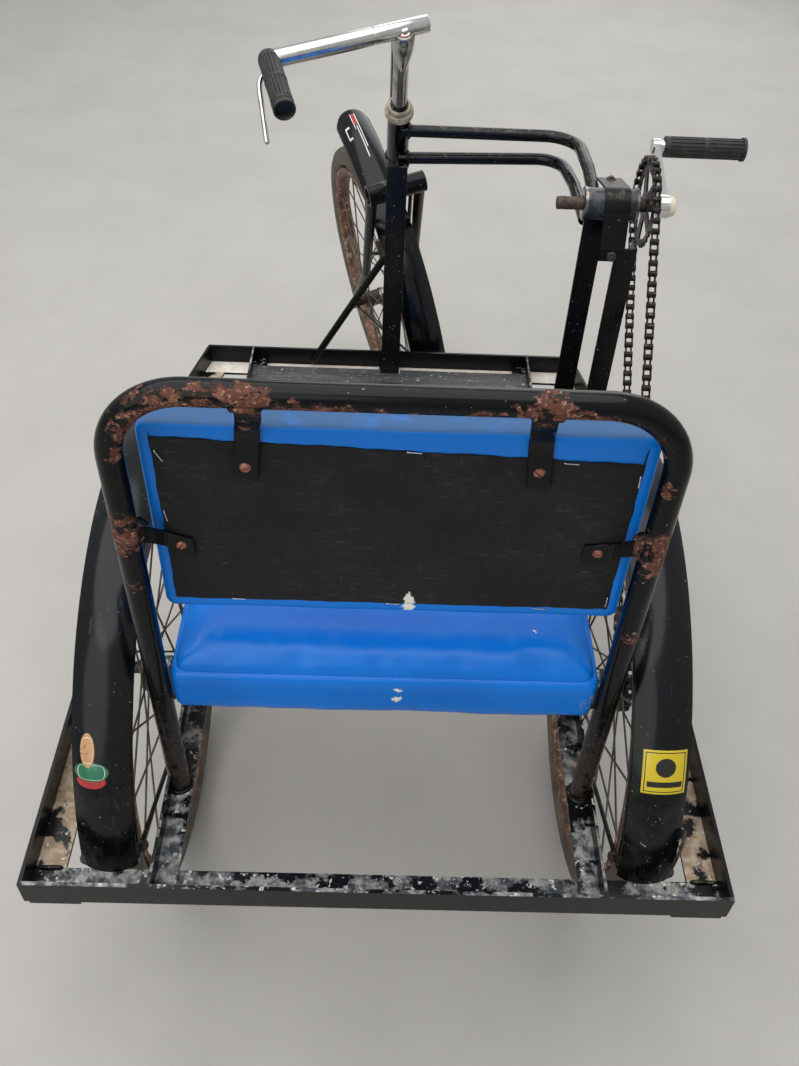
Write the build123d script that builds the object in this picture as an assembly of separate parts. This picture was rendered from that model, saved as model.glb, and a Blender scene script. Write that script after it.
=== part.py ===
"""Hand-cranked three-wheeled invalid carriage: angle-iron tray with three spoked wheels, a raked fork,
a box seat with a tube backrest, and a chain driven by a hand crank at the rider's right.
Millimetres. X to the right, Y forward, Z up, floor at Z = 0. The pieces are drawn from the middle of the rear
axle line, and put() moves each one so that the whole vehicle stands centred on the origin.
Sizes come first, then what follows from them, then the pieces in groups."""
from build123d import *
from math import acos, atan2, cos, degrees, hypot, pi, radians, sin, sqrt
import os

os.makedirs("parts", exist_ok=True)

# Wheels: tyre, rim, spokes and hub
WHEEL_R = 287.0
TYRE_R = 18.5
TYRE_SEAT = 0.8
RIM_DEPTH = 12.8
RIM_HALF = 13.0
RIM_BASE = 6.0
HUB_R = 15.0
FLANGE_R = 29.0
FLANGE_T = 3.0
HUB_NECK = 6.0
SPOKES = 32
SPOKE_R = 1.3
SPOKE_CROSS = 62.0
SPOKE_INSET = 5.0
SPOKE_STAGGER = 3.0
AXLE_R = 5.0
RUN_GAP = 0.05
TRACK = 280.0
REAR_FLANGES = 27.0
FRONT_FLANGES = 30.0

# Axle fittings
NUT_R = 9.0
NUT_T = 6.0
AXLE_END = 3.0
SPACER_R = 8.0
SPACER_GAP = 0.1
HANGER_W = 30.0
HANGER_T = 5.0
HANGER_TAIL = 16.0
HANGER_LAP = 19.0
HANGER_OUT = 21.0

# Tray of angle iron
AXLE_DROP = 93.0
LEG = 35.0
LEG_T = 4.0
BAY_IN = 48.0
BAY_OUT = 80.0
INNER_LEG = 25.0
INNER_T = 3.0
REAR_LAP = 31.4
CROSS_LAP = 4.6
CROSS_W = 35.0
KINK_AHEAD = 24.0
FRONT_REACH = 250.0
FRONT_IN = 54.0
TAB_LENGTH = 52.0
TAB_IN = 5.0
TAB_W = 30.0
TAB_T = 4.0
SHEET_T = 2.0
SHEET_DEPTH = 115.0
SHEET_GAP = 27.0
SHEET_LIP = 14.0
NOTCH_FIT = 2.0
NOTCH_BACK = 7.0

# Mudguards
GUARD_GAP = 47.0
GUARD_HALF = 29.0
GUARD_T = 2.0
GUARD_DROP = 9.0
GUARD_HEM = 5.0
GUARD_Y = 14.0
GUARD_RISE = 4.0
REAR_GUARD_FROM = -25.0
REAR_GUARD_TO = 205.0
FRONT_GUARD_FROM = 55.0
FRONT_GUARD_TO = 176.0
STAY_R = 2.5
STAY_EYE_R = 11.0
STAY_EYE_T = 3.0
REAR_STAY_AT = 168.0
FRONT_STAY_AT = 138.0
BRACKET_W = 20.0
BRACKET_T = 3.0

# Seat and backrest
HOOP_IN = 10.0
HOOP_Y = -214.0
HOOP_RISE = 505.0
HOOP_BEND = 75.0
TUBE_R = 12.5
SEAT_RISE = 130.0
SEAT_GAP = 1.5
SEAT_DEPTH = 404.0
SEAT_OVERHANG = 5.0
SEAT_THICK = 62.0
SEAT_ROUND = 9.0
SOFT_GAP = 0.3
BOARD_T = 12.0
BOARD_IN = 4.0
BEARER_LEG = 25.0
BEARER_T = 4.0
BEARER_AHEAD = 32.5
BEARER_IN = 65.0
BACK_HALF = 209.0
BACK_SIDE = 4.0
BACK_AHEAD = 24.0
BACK_HEIGHT = 213.0
BACK_DROP = 27.5
BACK_THICK = 40.0
STRAP_W = 20.0
STRAP_T = 3.0
TOP_STRAP_X = 115.0
TOP_STRAP_LOW = 53.0
TOP_STRAP_STEP = 16.0
TOP_STRAP_HEM = 7.0
SIDE_STRAP_DROP = 133.0
SIDE_STRAP_REACH = 42.0
SIDE_STRAP_SLOPE = 36.0
SIDE_STRAP_IN = 16.0
SIDE_STRAP_STEP = 8.0

# Head: post, head tube and the tubes that brace the crank
POST_LEG = 30.0
POST_T = 3.0
POST_SHORT = 14.0
GUSSET_HIGH = 40.0
GUSSET_LOW = 147.0
HEAD_RISE = 407.0
HEAD_AHEAD = 18.0
HEAD_R = 16.0
HEAD_LEN = 108.0
CUP_R = 19.0
CUP_T = 8.0
CUP_LIP = 3.0
RAKE = 30.0
TURN = 20.4
BRACE_R = 5.0
BRACE_TOP = 165.0
BRACE_OUT = 134.0
PIPE_R = 6.5
PIPE_BEND = 22.0
UPPER_PIPE_DROP = 29.0
LOWER_PIPE_DROP = 67.0
PIPE_OUT = 34.0
PIPE_BACK = 26.0
PIPE_REAR = 6.0
PIPE_TURN = 40.0
UPPER_PIPE_SHIFT = 1.0
LOWER_PIPE_SHIFT = -7.0
UPPER_PIPE_END = 6.0
LOWER_PIPE_END = 36.0

# Steering: fork, stem, handlebar and brake
STEERER_R = 12.7
CROWN_DROP = 182.0
CROWN_R = 16.0
CROWN_WALL = 3.0
CROWN_END = 7.0
FORK_OFFSET = 55.0
BLADE_R = 9.0
BLADE_TIP_R = 7.5
BLADE_GAP = 2.0
BLADE_BEND = 250.0
DROPOUT_GAP = 15.0
DROPOUT_T = 5.0
DROPOUT_W = 26.0
RACE_T = 7.0
STEM_RISE = 148.0
STEM_R = 9.0
CLAMP_R = 14.0
CLAMP_W = 26.0
LOCKNUT_T = 12.0
HEAD_BOLT_T = 8.0
BAR_R = 9.0
SLEEVE_R = 11.1
BAR_LEFT = 182.0
STUB_LEN = 25.0
GRIP_R = 13.5
GRIP_LEN = 104.0
GRIP_START = 14.0
GRIP_OUT = 3.5
GRIP_UP = 9.2
GRIP_FLANGE_R = 15.0
GRIP_FLANGE_T = 4.0
GRIP_RING = 6.0
GRIP_END = 6.5
FLUTES = 16
FLUTE_R = 1.4
LEVER_R = 3.5
LEVER_IN = 16.0
LEVER_BACK = 96.0
LEVER_DROP = 42.0
LINK_R = 3.0
LINK_GAP = 3.0
LINK_BEND = 8.0
LINK_STEP = 40.0
LINK_KNEE = 30.0
STIRRUP_R = 3.5
STIRRUP_BEND = 12.0
SHOE_L = 40.0
SHOE_H = 11.0
SHOE_W = 10.0
SHOE_GAP = 6.0

# Hand crank and chain
PITCH = 12.7
ROLLER_R = 3.9
RING_TEETH = 28
COG_TEETH = 18
LINKS = 120
PLATE_T = 1.6
PLATE_HIGH = 4.3
PLATE_WAIST = 2.7
CHAIN_GAP = 5.4
COG_GAP = 0.5
COG_SHOULDER = 2.3
COG_BOSS_R = 19.2
SPROCKET_T = 2.4
TOOTH = 3.5
TOOTH_GAP = 0.6
CRANK_AHEAD = 62.0
BRACKET_R = 20.0
BRACKET_WALL = 2.5
BRACKET_LEN = 68.0
BRACKET_IN = 11.0
BRACKET_CUP_T = 5.0
SPINDLE_R = 8.0
SPINDLE_COLLAR = 1.0
SPINDLE_FREE = 34.0
CRANK_POST = 28.0
CRANK_POST_T = 3.0
SHELF_AHEAD = 42.0
LEFT_POST_IN = 19.0
LEFT_POST_AHEAD = 15.0
RIGHT_POST_IN = 9.0
RIGHT_POST_BACK = 20.0
RIGHT_POST_DROP = 44.0
SADDLE_W = 32.0
SADDLE_IN = 12.0
SADDLE_REACH = 58.0
SADDLE_LAP = 16.0
ARM_GAP = 23.0
ARM_T = 12.0
ARM_LEN = 103.0
ARM_ANGLE = 21.0
BOSS_R = 15.0
EYE_R = 10.0
CAP_R = 12.0
CAP_T = 7.0
PIN_R = 5.0
COLLAR_R = 8.0
HANDLE_LEN = 106.0
HANDLE_GAP = 6.0

# Wheels, from their own sizes
RIM_OUT = WHEEL_R - 2 * TYRE_R + TYRE_SEAT
RIM_IN = RIM_OUT - RIM_DEPTH
REAR_HUB_HALF = REAR_FLANGES + HUB_NECK
FRONT_HUB_HALF = FRONT_FLANGES + HUB_NECK

# Levels and lines of the tray, from the axle line and the mudguards that land on it
FRAME_TOP = WHEEL_R + AXLE_DROP
FRAME_LOW = FRAME_TOP - LEG
FLANGE_TOP = FRAME_LOW + LEG_T
INNER_LOW = FRAME_TOP - INNER_LEG
INNER_TOP = INNER_LOW + INNER_T
INNER_X = TRACK - BAY_IN
HALF_WIDTH = TRACK + BAY_OUT
GUARD_R = WHEEL_R + GUARD_GAP
GUARD_Z = WHEEL_R + GUARD_RISE
REAR_Y = GUARD_Y - sqrt(GUARD_R**2 - (FLANGE_TOP - GUARD_Z) ** 2) - REAR_LAP
CROSS_Y = GUARD_Y + sqrt(GUARD_R**2 - (INNER_LOW - GUARD_Z) ** 2) - CROSS_LAP
KINK_Y = CROSS_Y + KINK_AHEAD
FRONT_Y = KINK_Y + FRONT_REACH
FRONT_HALF = HALF_WIDTH - FRONT_IN

# Seat and backrest
LEG_X = INNER_X - HOOP_IN
HOOP_TOP = FRAME_TOP + HOOP_RISE
SEAT_HALF = LEG_X - TUBE_R - SEAT_GAP
SEAT_REAR = HOOP_Y - SEAT_OVERHANG
BOARD_LOW = FRAME_TOP + SEAT_RISE
BOARD_TOP = BOARD_LOW + BOARD_T
BACK_Y = HOOP_Y + BACK_AHEAD
BACK_HIGH = HOOP_TOP - TUBE_R - BACK_DROP
BACK_LOW = BACK_HIGH - BACK_HEIGHT

# Chain line and the length of its run, from the number of links
CHAIN_X = TRACK + REAR_HUB_HALF + COG_GAP + SPROCKET_T / 2 + COG_SHOULDER
HANGER_X = CHAIN_X + HANGER_OUT
RING_R = PITCH / (2 * sin(pi / RING_TEETH))
COG_R = PITCH / (2 * sin(pi / COG_TEETH))
HALF_RUN = (LINKS - (RING_TEETH + COG_TEETH) / 2) * PITCH / 2
CENTRES = HALF_RUN - ((RING_TEETH - COG_TEETH) * PITCH / (2 * pi)) ** 2 / (2 * HALF_RUN)
CRANK_Y = CROSS_Y + CRANK_AHEAD
CRANK_Z = WHEEL_R + sqrt(CENTRES**2 - CRANK_Y**2)
BRACKET_RIGHT = CHAIN_X - BRACKET_IN
BRACKET_LEFT = BRACKET_RIGHT - BRACKET_LEN
ARM_X = CHAIN_X + ARM_GAP
HANDLE_START = ARM_X + ARM_T / 2 + HANDLE_GAP
HANDLE_END = HANDLE_START + HANDLE_LEN
EYE_Y = CRANK_Y + ARM_LEN * cos(radians(ARM_ANGLE))
EYE_Z = CRANK_Z + ARM_LEN * sin(radians(ARM_ANGLE))

# Steering axis as parked: up along the head tube, out along the front axle, and ahead of the axis
HEAD_Y = FRONT_Y - POST_LEG + HEAD_AHEAD
HEAD_Z = FRAME_TOP + HEAD_RISE
AXIS_UP = Vector(0, -sin(radians(RAKE)), cos(radians(RAKE)))
SWING = sin(radians(TURN))
SIDE = Vector(cos(radians(TURN)), SWING * cos(radians(RAKE)), SWING * sin(radians(RAKE)))
AHEAD = AXIS_UP.cross(SIDE)
HEAD_TOP = Vector(0, HEAD_Y, HEAD_Z)
HUB_Z = (WHEEL_R - TYRE_R) * sqrt(1 - SIDE.Z**2) + TYRE_R
HUB_DROP = (HEAD_Z + FORK_OFFSET * AHEAD.Z - HUB_Z) / AXIS_UP.Z
HUB = HEAD_TOP - AXIS_UP * HUB_DROP + AHEAD * FORK_OFFSET
BLADE_TOP_X = GUARD_HALF + BLADE_R + BLADE_GAP
DROPOUT_X = FRONT_HUB_HALF + DROPOUT_GAP
STIRRUP_X = GUARD_HALF + STIRRUP_R + BLADE_GAP
BAR_RIGHT = CLAMP_W / 2 + STUB_LEN

# Middle of the overall box
MIDDLE_X = (HANDLE_END - HALF_WIDTH) / 2
MIDDLE_Y = (REAR_Y + HUB.Y + (WHEEL_R - TYRE_R) * sqrt(1 - SIDE.Y**2) + TYRE_R) / 2


def put(name, shape):
    """Moves a finished piece to the shared frame and writes it, keeping its main solid."""
    solid = shape.solids().sort_by(SortBy.VOLUME)[-1]
    export_step(Pos(-MIDDLE_X, -MIDDLE_Y, 0) * solid, f"parts/{name}.step")


def block(x0, x1, y0, y1, z0, z1):
    """A box between two corners."""
    middle = Pos((x0 + x1) / 2, (y0 + y1) / 2, (z0 + z1) / 2)
    return middle * Box(abs(x1 - x0), abs(y1 - y0), abs(z1 - z0))


def rod(a, b, r):
    """A round bar between two points."""
    run = Vector(*b) - Vector(*a)
    return Plane(origin=Vector(*a) + run * 0.5, z_dir=run) * Cylinder(r, run.length)


def along_x(x0, x1, y, z, r):
    """A round bar along X."""
    return rod((x0, y, z), (x1, y, z), r)


def cone_rod(a, b, ra, rb):
    """A tapered round bar between two points."""
    run = Vector(*b) - Vector(*a)
    return Plane(origin=Vector(*a) + run * 0.5, z_dir=run) * Cone(ra, rb, run.length)


def bent_rod(points, bend, r):
    """A round bar along straight runs with rounded corners."""
    line = FilletPolyline(*points, radius=bend)
    return sweep(Plane(origin=line @ 0, z_dir=line % 0) * Circle(r), path=line)


def hex_nut(x, y, z, bore, out):
    """A nut on a bar along X, with its near face at x and out giving the way it grows."""
    nut = extrude(RegularPolygon(NUT_R, 6) - Circle(bore), NUT_T)
    return Pos(x, y, z) * Rot(0, 90 * out, 0) * nut


def angle_run(a, b, out, leg, t, top):
    """Angle iron from a to b on plan: one leg upright along the line, the other flat along its foot.
    out is +1 when the flat leg lies to the left of the run and -1 when it lies to the right."""
    length = hypot(b[0] - a[0], b[1] - a[1])
    turn = degrees(atan2(b[1] - a[1], b[0] - a[0]))
    upright = block(0, length, 0, out * t, top - leg, top)
    flat = block(0, length, 0, out * leg, top - leg, top - leg + t)
    return Pos(a[0], a[1], 0) * Rot(0, 0, turn) * (upright + flat)


def beyond(a, b, out, t):
    """All that lies outside the upright leg of an angle run, to trim what butts against its inner face."""
    length = hypot(b[0] - a[0], b[1] - a[1])
    turn = degrees(atan2(b[1] - a[1], b[0] - a[0]))
    outside = block(-LEG, length + LEG, -out * 3 * LEG, out * t, 0, 2 * FRAME_TOP)
    return Pos(a[0], a[1], 0) * Rot(0, 0, turn) * outside


def post_angle(x, y, size, t, low, high, x_out, y_out):
    """Upright angle iron with its corner at x, y and its legs running to x_out and y_out."""
    leg_x = block(x, x + x_out * size, y, y + y_out * t, low, high)
    leg_y = block(x, x + x_out * t, y, y + y_out * size, low, high)
    return leg_x + leg_y


def turned(points):
    """A closed profile of (along X, radius) points turned about the X axis."""
    return revolve(make_face(Polyline(*points, close=True)), Axis.X, 360)


def fluted_grip(length, bore):
    """Fluted rubber grip along X from the origin, with a smooth ring at its start and a flange at its end."""
    flutes = [Rot(0, 0, i * 360 / FLUTES) * Pos(GRIP_R, 0) * Circle(FLUTE_R) for i in range(FLUTES)]
    body = Rot(0, 90, 0) * extrude(Circle(GRIP_R) - flutes, length)
    body += along_x(0, GRIP_RING, 0, 0, GRIP_R)
    body += along_x((length - GRIP_RING) / 2, (length + GRIP_RING) / 2, 0, 0, GRIP_R)
    body += along_x(length - GRIP_FLANGE_T, length, 0, 0, GRIP_FLANGE_R)
    return body - along_x(-1, length + 1, 0, 0, bore) if bore else body


def wheel_tyre():
    """Round tyre about the X axis, seated flat on the rim."""
    ring = revolve(Pos(0, WHEEL_R - TYRE_R) * Circle(TYRE_R), Axis.X, 360)
    return ring - Rot(0, 90, 0) * Cylinder(RIM_OUT, 4 * TYRE_R)


def wheel_core(half, hub_half):
    """Flanged hub, crossed spokes and rolled rim as one piece about the X axis."""
    bore = AXLE_R + RUN_GAP
    dish = (FLANGE_R - HUB_R) / 4
    hub = turned([
        (-hub_half, bore), (hub_half, bore), (hub_half, HUB_R - 1), (hub_half - 1, HUB_R),
        (half + FLANGE_T, HUB_R), (half + FLANGE_T, FLANGE_R), (half, FLANGE_R), (half - dish, HUB_R + dish),
        (half - 3 * dish, HUB_R), (3 * dish - half, HUB_R), (dish - half, HUB_R + dish), (-half, FLANGE_R),
        (-half - FLANGE_T, FLANGE_R), (-half - FLANGE_T, HUB_R), (1 - hub_half, HUB_R),
        (-hub_half, HUB_R - 1),
    ])
    shoulder = RIM_IN + 0.55 * RIM_DEPTH
    swell = (RIM_HALF - 0.2 * RIM_BASE, RIM_IN + 0.2 * RIM_DEPTH)
    rim_line = [
        Line((-RIM_HALF, RIM_OUT), (-RIM_HALF, shoulder)),
        ThreePointArc((-RIM_HALF, shoulder), (-swell[0], swell[1]), (-RIM_BASE, RIM_IN)),
        Line((-RIM_BASE, RIM_IN), (RIM_BASE, RIM_IN)),
        ThreePointArc((RIM_BASE, RIM_IN), swell, (RIM_HALF, shoulder)),
        Line((RIM_HALF, shoulder), (RIM_HALF, RIM_OUT)),
        Line((RIM_HALF, RIM_OUT), (-RIM_HALF, RIM_OUT)),
    ]
    rim = revolve(make_face(rim_line), Axis.X, 360)
    spokes = []
    for i in range(SPOKES):
        flange = 1 if i % 2 else -1
        lean = 1 if i % 4 < 2 else -1
        at = radians(i * 360 / SPOKES)
        root = at + radians(lean * SPOKE_CROSS)
        hole = FLANGE_R - SPOKE_INSET
        low = (flange * (half + FLANGE_T / 2), hole * sin(root), hole * cos(root))
        high = (flange * SPOKE_STAGGER, (RIM_IN + 2) * sin(at), (RIM_IN + 2) * cos(at))
        spokes.append(rod(low, high, SPOKE_R))
    return hub.fuse(rim, *spokes)


def guard_shell(start, stop):
    """Arched mudguard with turned-down edges about the X axis, between two angles from straight ahead."""
    edge = GUARD_R - GUARD_DROP
    h = GUARD_HALF
    hem = edge - GUARD_HEM
    section = [
        ThreePointArc((-h, edge), (0, GUARD_R), (h, edge)),
        Line((h, edge), (h, hem)),
        Line((h, hem), (h - GUARD_T, hem)),
        Line((h - GUARD_T, hem), (h - GUARD_T, edge - GUARD_T)),
        ThreePointArc((h - GUARD_T, edge - GUARD_T), (0, GUARD_R - GUARD_T), (GUARD_T - h, edge - GUARD_T)),
        Line((GUARD_T - h, edge - GUARD_T), (GUARD_T - h, hem)),
        Line((GUARD_T - h, hem), (-h, hem)),
        Line((-h, hem), (-h, edge)),
    ]
    return Rot(start, 0, 0) * revolve(make_face(section), Axis.X, stop - start)


def guard_stay(side, foot_x, foot_y, foot_z, at, hole, lean):
    """Stay rod from an eye round the axle to the turned-down edge of a mudguard about the X axis.
    lean moves the rod's foot out from the eye, to pass beside the plate that the eye lies on."""
    reach = GUARD_R - GUARD_DROP - GUARD_HEM / 2
    way = Vector(0, cos(radians(at)), sin(radians(at)))
    top = Vector(side * (GUARD_HALF - GUARD_T / 2), 0, 0) + way * reach
    foot = Vector(foot_x + lean, foot_y, foot_z) + way * (STAY_EYE_R - STAY_R / 2)
    eye = along_x(foot_x - STAY_EYE_T / 2, foot_x + STAY_EYE_T / 2, foot_y, foot_z, STAY_EYE_R)
    eye -= along_x(foot_x - STAY_EYE_T, foot_x + STAY_EYE_T, foot_y, foot_z, hole)
    return eye + rod(tuple(foot), tuple(top), STAY_R)


def tilt(shape):
    """Takes a piece drawn about the X axis at the origin to the front hub, turned as parked."""
    return Plane(origin=HUB, x_dir=SIDE, z_dir=AXIS_UP) * shape


def steer(shape):
    """Takes a piece drawn from the top of the head tube, Z up the steering axis, to its parked place."""
    return Plane(origin=HEAD_TOP, x_dir=SIDE, z_dir=AXIS_UP) * shape


# Tray
def rail_points(side):
    """Plan points of an outer rail: rear corner, kink and front corner."""
    return (side * HALF_WIDTH, REAR_Y), (side * HALF_WIDTH, KINK_Y), (side * FRONT_HALF, FRONT_Y)


def hanger(side, x, top):
    """Flat bar that hangs from a rail and carries an axle end, with its inner face at x."""
    plate = block(x, x + HANGER_T, -HANGER_W / 2, HANGER_W / 2, WHEEL_R, top)
    plate += along_x(x, x + HANGER_T, 0, WHEEL_R, HANGER_W / 2)
    plate -= along_x(x - 1, x + HANGER_T + 1, 0, WHEEL_R, AXLE_R)
    return plate if side > 0 else mirror(plate, Plane.YZ)


def tray():
    """Rear and front bars, outer and inner rails, cross bar with its shelf, and the footboard."""
    rear = angle_run((-HALF_WIDTH, REAR_Y), (HALF_WIDTH, REAR_Y), 1, LEG, LEG_T, FRAME_TOP)
    front = angle_run((FRONT_HALF, FRONT_Y), (-FRONT_HALF, FRONT_Y), 1, LEG, LEG_T, FRAME_TOP)
    rear_web = block(-HALF_WIDTH, HALF_WIDTH, REAR_Y - LEG, REAR_Y + LEG_T, 0, 2 * FRAME_TOP)
    front_web = block(-HALF_WIDTH, HALF_WIDTH, FRONT_Y - LEG_T, FRONT_Y + 2 * LEG, 0, 2 * FRAME_TOP)
    rear_flat = block(-HALF_WIDTH, HALF_WIDTH, REAR_Y, REAR_Y + LEG, 0, FLANGE_TOP)
    front_flat = block(-HALF_WIDTH, HALF_WIDTH, FRONT_Y - LEG, FRONT_Y, 0, FLANGE_TOP)
    for side in (-1, 1):
        end = side * (HALF_WIDTH - TAB_IN)
        rear += block(end - side * TAB_LENGTH, end, REAR_Y, REAR_Y + TAB_W, FRAME_LOW - TAB_T, FRAME_LOW)
    put("rear_bar", rear)
    put("front_bar", front)
    bar = block(-HALF_WIDTH, HALF_WIDTH, CROSS_Y, CROSS_Y + CROSS_W, FLANGE_TOP, INNER_LOW)
    bar += block(INNER_X - INNER_LEG, HALF_WIDTH, CROSS_Y, CRANK_Y + SHELF_AHEAD, FLANGE_TOP, INNER_LOW)
    for side, name in ((-1, "left"), (1, "right")):
        a, b, c = rail_points(side)
        outer = angle_run(a, b, side, LEG, LEG_T, FRAME_TOP) + angle_run(b, c, side, LEG, LEG_T, FRAME_TOP)
        outer = outer - rear_web - rear_flat - front_web - front_flat
        put(f"{name}_outer_rail", outer + hanger(side, HANGER_X, FRAME_LOW + LEG_T / 2))
        x = side * INNER_X
        inner = angle_run((x, REAR_Y), (x, FRONT_Y), side, INNER_LEG, INNER_T, FRAME_TOP)
        inner = inner - rear_web - front_web
        put(f"{name}_inner_rail", inner + hanger(side, INNER_X, FRAME_TOP - HANGER_LAP + HANGER_W / 2))
        bar = bar - beyond(a, b, side, LEG_T) - beyond(b, c, side, LEG_T)
    put("cross_bar", bar)
    half = INNER_X - INNER_T
    back = FRONT_Y - SHEET_GAP - SHEET_DEPTH
    sheet = block(-half, half, back, FRONT_Y - SHEET_GAP, INNER_TOP, INNER_TOP + SHEET_T)
    lip_half = INNER_X - INNER_LEG
    sheet += block(-lip_half, lip_half, back, back + SHEET_T, INNER_TOP - SHEET_LIP, INNER_TOP + SHEET_T)
    notch = POST_LEG / 2 + NOTCH_FIT
    sheet -= block(-notch, notch, FRONT_Y - POST_LEG - NOTCH_BACK, FRONT_Y, 0, FRAME_TOP)
    put("footboard", sheet)


# Rear wheels, their axles and mudguards, and the front wheel
def wheels():
    """Tyres, cores, axles with nuts and spacers, and the arched guards with their stays."""
    for side, name in ((-1, "left"), (1, "right")):
        place = Pos(side * TRACK, 0, WHEEL_R)
        put(f"{name}_tyre", place * wheel_tyre())
        put(f"{name}_wheel_core", place * wheel_core(REAR_FLANGES, REAR_HUB_HALF))
        inner_face = INNER_X
        outer_face = HANGER_X + HANGER_T
        axle = along_x(inner_face - NUT_T - AXLE_END, outer_face + NUT_T + AXLE_END, 0, WHEEL_R, AXLE_R)
        axle += hex_nut(inner_face, 0, WHEEL_R, AXLE_R / 2, -1)
        axle += hex_nut(outer_face, 0, WHEEL_R, AXLE_R / 2, 1)
        near = TRACK - REAR_HUB_HALF - SPACER_GAP
        axle += along_x(INNER_X + HANGER_T, near, 0, WHEEL_R, SPACER_R)
        far = TRACK + REAR_HUB_HALF + SPACER_GAP
        if side > 0:
            far = CHAIN_X + SPROCKET_T / 2 + COG_SHOULDER + COG_GAP + SPACER_GAP
        axle += along_x(far, HANGER_X, 0, WHEEL_R, SPACER_R)
        put(f"{name}_axle", axle if side > 0 else mirror(axle, Plane.YZ))
        guard = guard_shell(REAR_GUARD_FROM, REAR_GUARD_TO)
        eye_x = BAY_IN - HANGER_T - STAY_EYE_T / 2
        guard = guard + guard_stay(-1, -eye_x, -GUARD_Y, -GUARD_RISE, REAR_STAY_AT, SPACER_R, STAY_R / 2)
        guard = guard if side > 0 else mirror(guard, Plane.YZ)
        guard = Pos(side * TRACK, GUARD_Y, GUARD_Z) * guard
        guard -= block(-2 * TRACK, 2 * TRACK, CROSS_Y - LEG, FRONT_Y, 0, INNER_LOW)
        guard -= block(-2 * TRACK, 2 * TRACK, REAR_Y - LEG, REAR_Y + 2 * LEG, 0, FLANGE_TOP)
        put(f"{name}_mudguard", guard)
    put("front_tyre", tilt(wheel_tyre()))
    put("front_wheel_core", tilt(wheel_core(FRONT_FLANGES, FRONT_HUB_HALF)))


# Seat and backrest
def bent_strap(points, x_dir, width):
    """Flat strap with its middle along straight runs, its width across x_dir."""
    strap = None
    for a, b in zip(points, points[1:]):
        run = Vector(*b) - Vector(*a)
        across = Vector(*x_dir)
        across = across - run * (across.dot(run) / run.dot(run))
        place = Plane(origin=Vector(*a) + run * 0.5, x_dir=across, z_dir=run)
        leg = place * Box(width, STRAP_T, run.length + STRAP_T)
        strap = leg if strap is None else strap + leg
    return strap


def seat():
    """Hoop with its straps, seat bearers and board, and the two padded boards."""
    corners = [(-LEG_X, INNER_TOP), (-LEG_X, HOOP_TOP), (LEG_X, HOOP_TOP), (LEG_X, INNER_TOP)]
    tube = bent_rod([(x, HOOP_Y, z) for x, z in corners], HOOP_BEND, TUBE_R)
    back = BACK_Y - STRAP_T / 2
    hoop = tube
    for side in (-1, 1):
        x = side * TOP_STRAP_X + BACK_SIDE / 2
        low = BACK_HIGH - TOP_STRAP_LOW
        top_run = [
            (x, HOOP_Y, HOOP_TOP), (x, HOOP_Y + 0.4 * BACK_AHEAD, HOOP_TOP - TOP_STRAP_STEP),
            (x, back, BACK_HIGH - TOP_STRAP_HEM), (x, back, low)]
        side_z = HOOP_TOP - SIDE_STRAP_DROP
        end_x = side * (LEG_X - SIDE_STRAP_REACH) + BACK_SIDE
        side_run = [
            (side * LEG_X, HOOP_Y, side_z), (side * (LEG_X - SIDE_STRAP_IN), back, side_z - SIDE_STRAP_STEP),
            (end_x, back, side_z - SIDE_STRAP_SLOPE)]
        hoop += bent_strap(top_run, (1, 0, 0), STRAP_W) + bent_strap(side_run, (0, 0, 1), STRAP_W)
    hoop -= block(-HALF_WIDTH, HALF_WIDTH, BACK_Y, BACK_Y + BACK_THICK, BOARD_TOP, 2 * HOOP_TOP)
    for side in (-1, 1):
        web = side * (INNER_X - INNER_T)
        hoop -= block(web, side * (INNER_X + LEG), HOOP_Y - LEG, HOOP_Y + LEG, 0, FRAME_TOP)
    put("backrest_tube", hoop)
    legs = [rod((side * LEG_X, HOOP_Y, 0), (side * LEG_X, HOOP_Y, HOOP_TOP), TUBE_R) for side in (-1, 1)]
    web = HOOP_Y + BEARER_AHEAD
    bearer = angle_run((-LEG_X, web), (LEG_X, web), -1, BEARER_LEG, BEARER_T, BOARD_LOW)
    bearer = mirror(bearer, Plane.XY.offset(BOARD_LOW - BEARER_LEG / 2))
    put("seat_rear_bearer", bearer - legs)
    front = SEAT_REAR + SEAT_DEPTH - BEARER_IN
    half = INNER_X - INNER_T
    frame = block(-half, half, front, front + BEARER_LEG, BOARD_LOW - BEARER_T, BOARD_LOW)
    frame += block(-half, half, front, front + BEARER_T, BOARD_LOW - BEARER_LEG, BOARD_LOW)
    for side in (-1, 1):
        frame += post_angle(side * half, front, BEARER_LEG, BEARER_T, INNER_TOP, BOARD_LOW, -side, 1)
    put("seat_front_bearer", frame)
    wide = SEAT_HALF - BOARD_IN
    ahead = SEAT_REAR + SEAT_DEPTH
    board = block(-wide, wide, SEAT_REAR + BOARD_IN, ahead - BOARD_IN, BOARD_LOW, BOARD_TOP)
    put("seat_board", board - legs)
    cushion = block(-SEAT_HALF, SEAT_HALF, SEAT_REAR, ahead, BOARD_TOP + SOFT_GAP, BOARD_TOP + SEAT_THICK)
    put("seat_cushion", fillet(cushion.edges(), SEAT_ROUND))
    x0 = BACK_SIDE - BACK_HALF
    x1 = BACK_SIDE + BACK_HALF
    board = block(x0, x1, BACK_Y, BACK_Y + BOARD_T, BACK_LOW, BACK_HIGH)
    put("backrest_board", fillet(board.edges().filter_by(Axis.Y), SEAT_ROUND))
    pad = block(x0, x1, BACK_Y + BOARD_T + SOFT_GAP, BACK_Y + BACK_THICK, BACK_LOW, BACK_HIGH)
    put("backrest_pad", fillet(pad.edges(), SEAT_ROUND))


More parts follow.
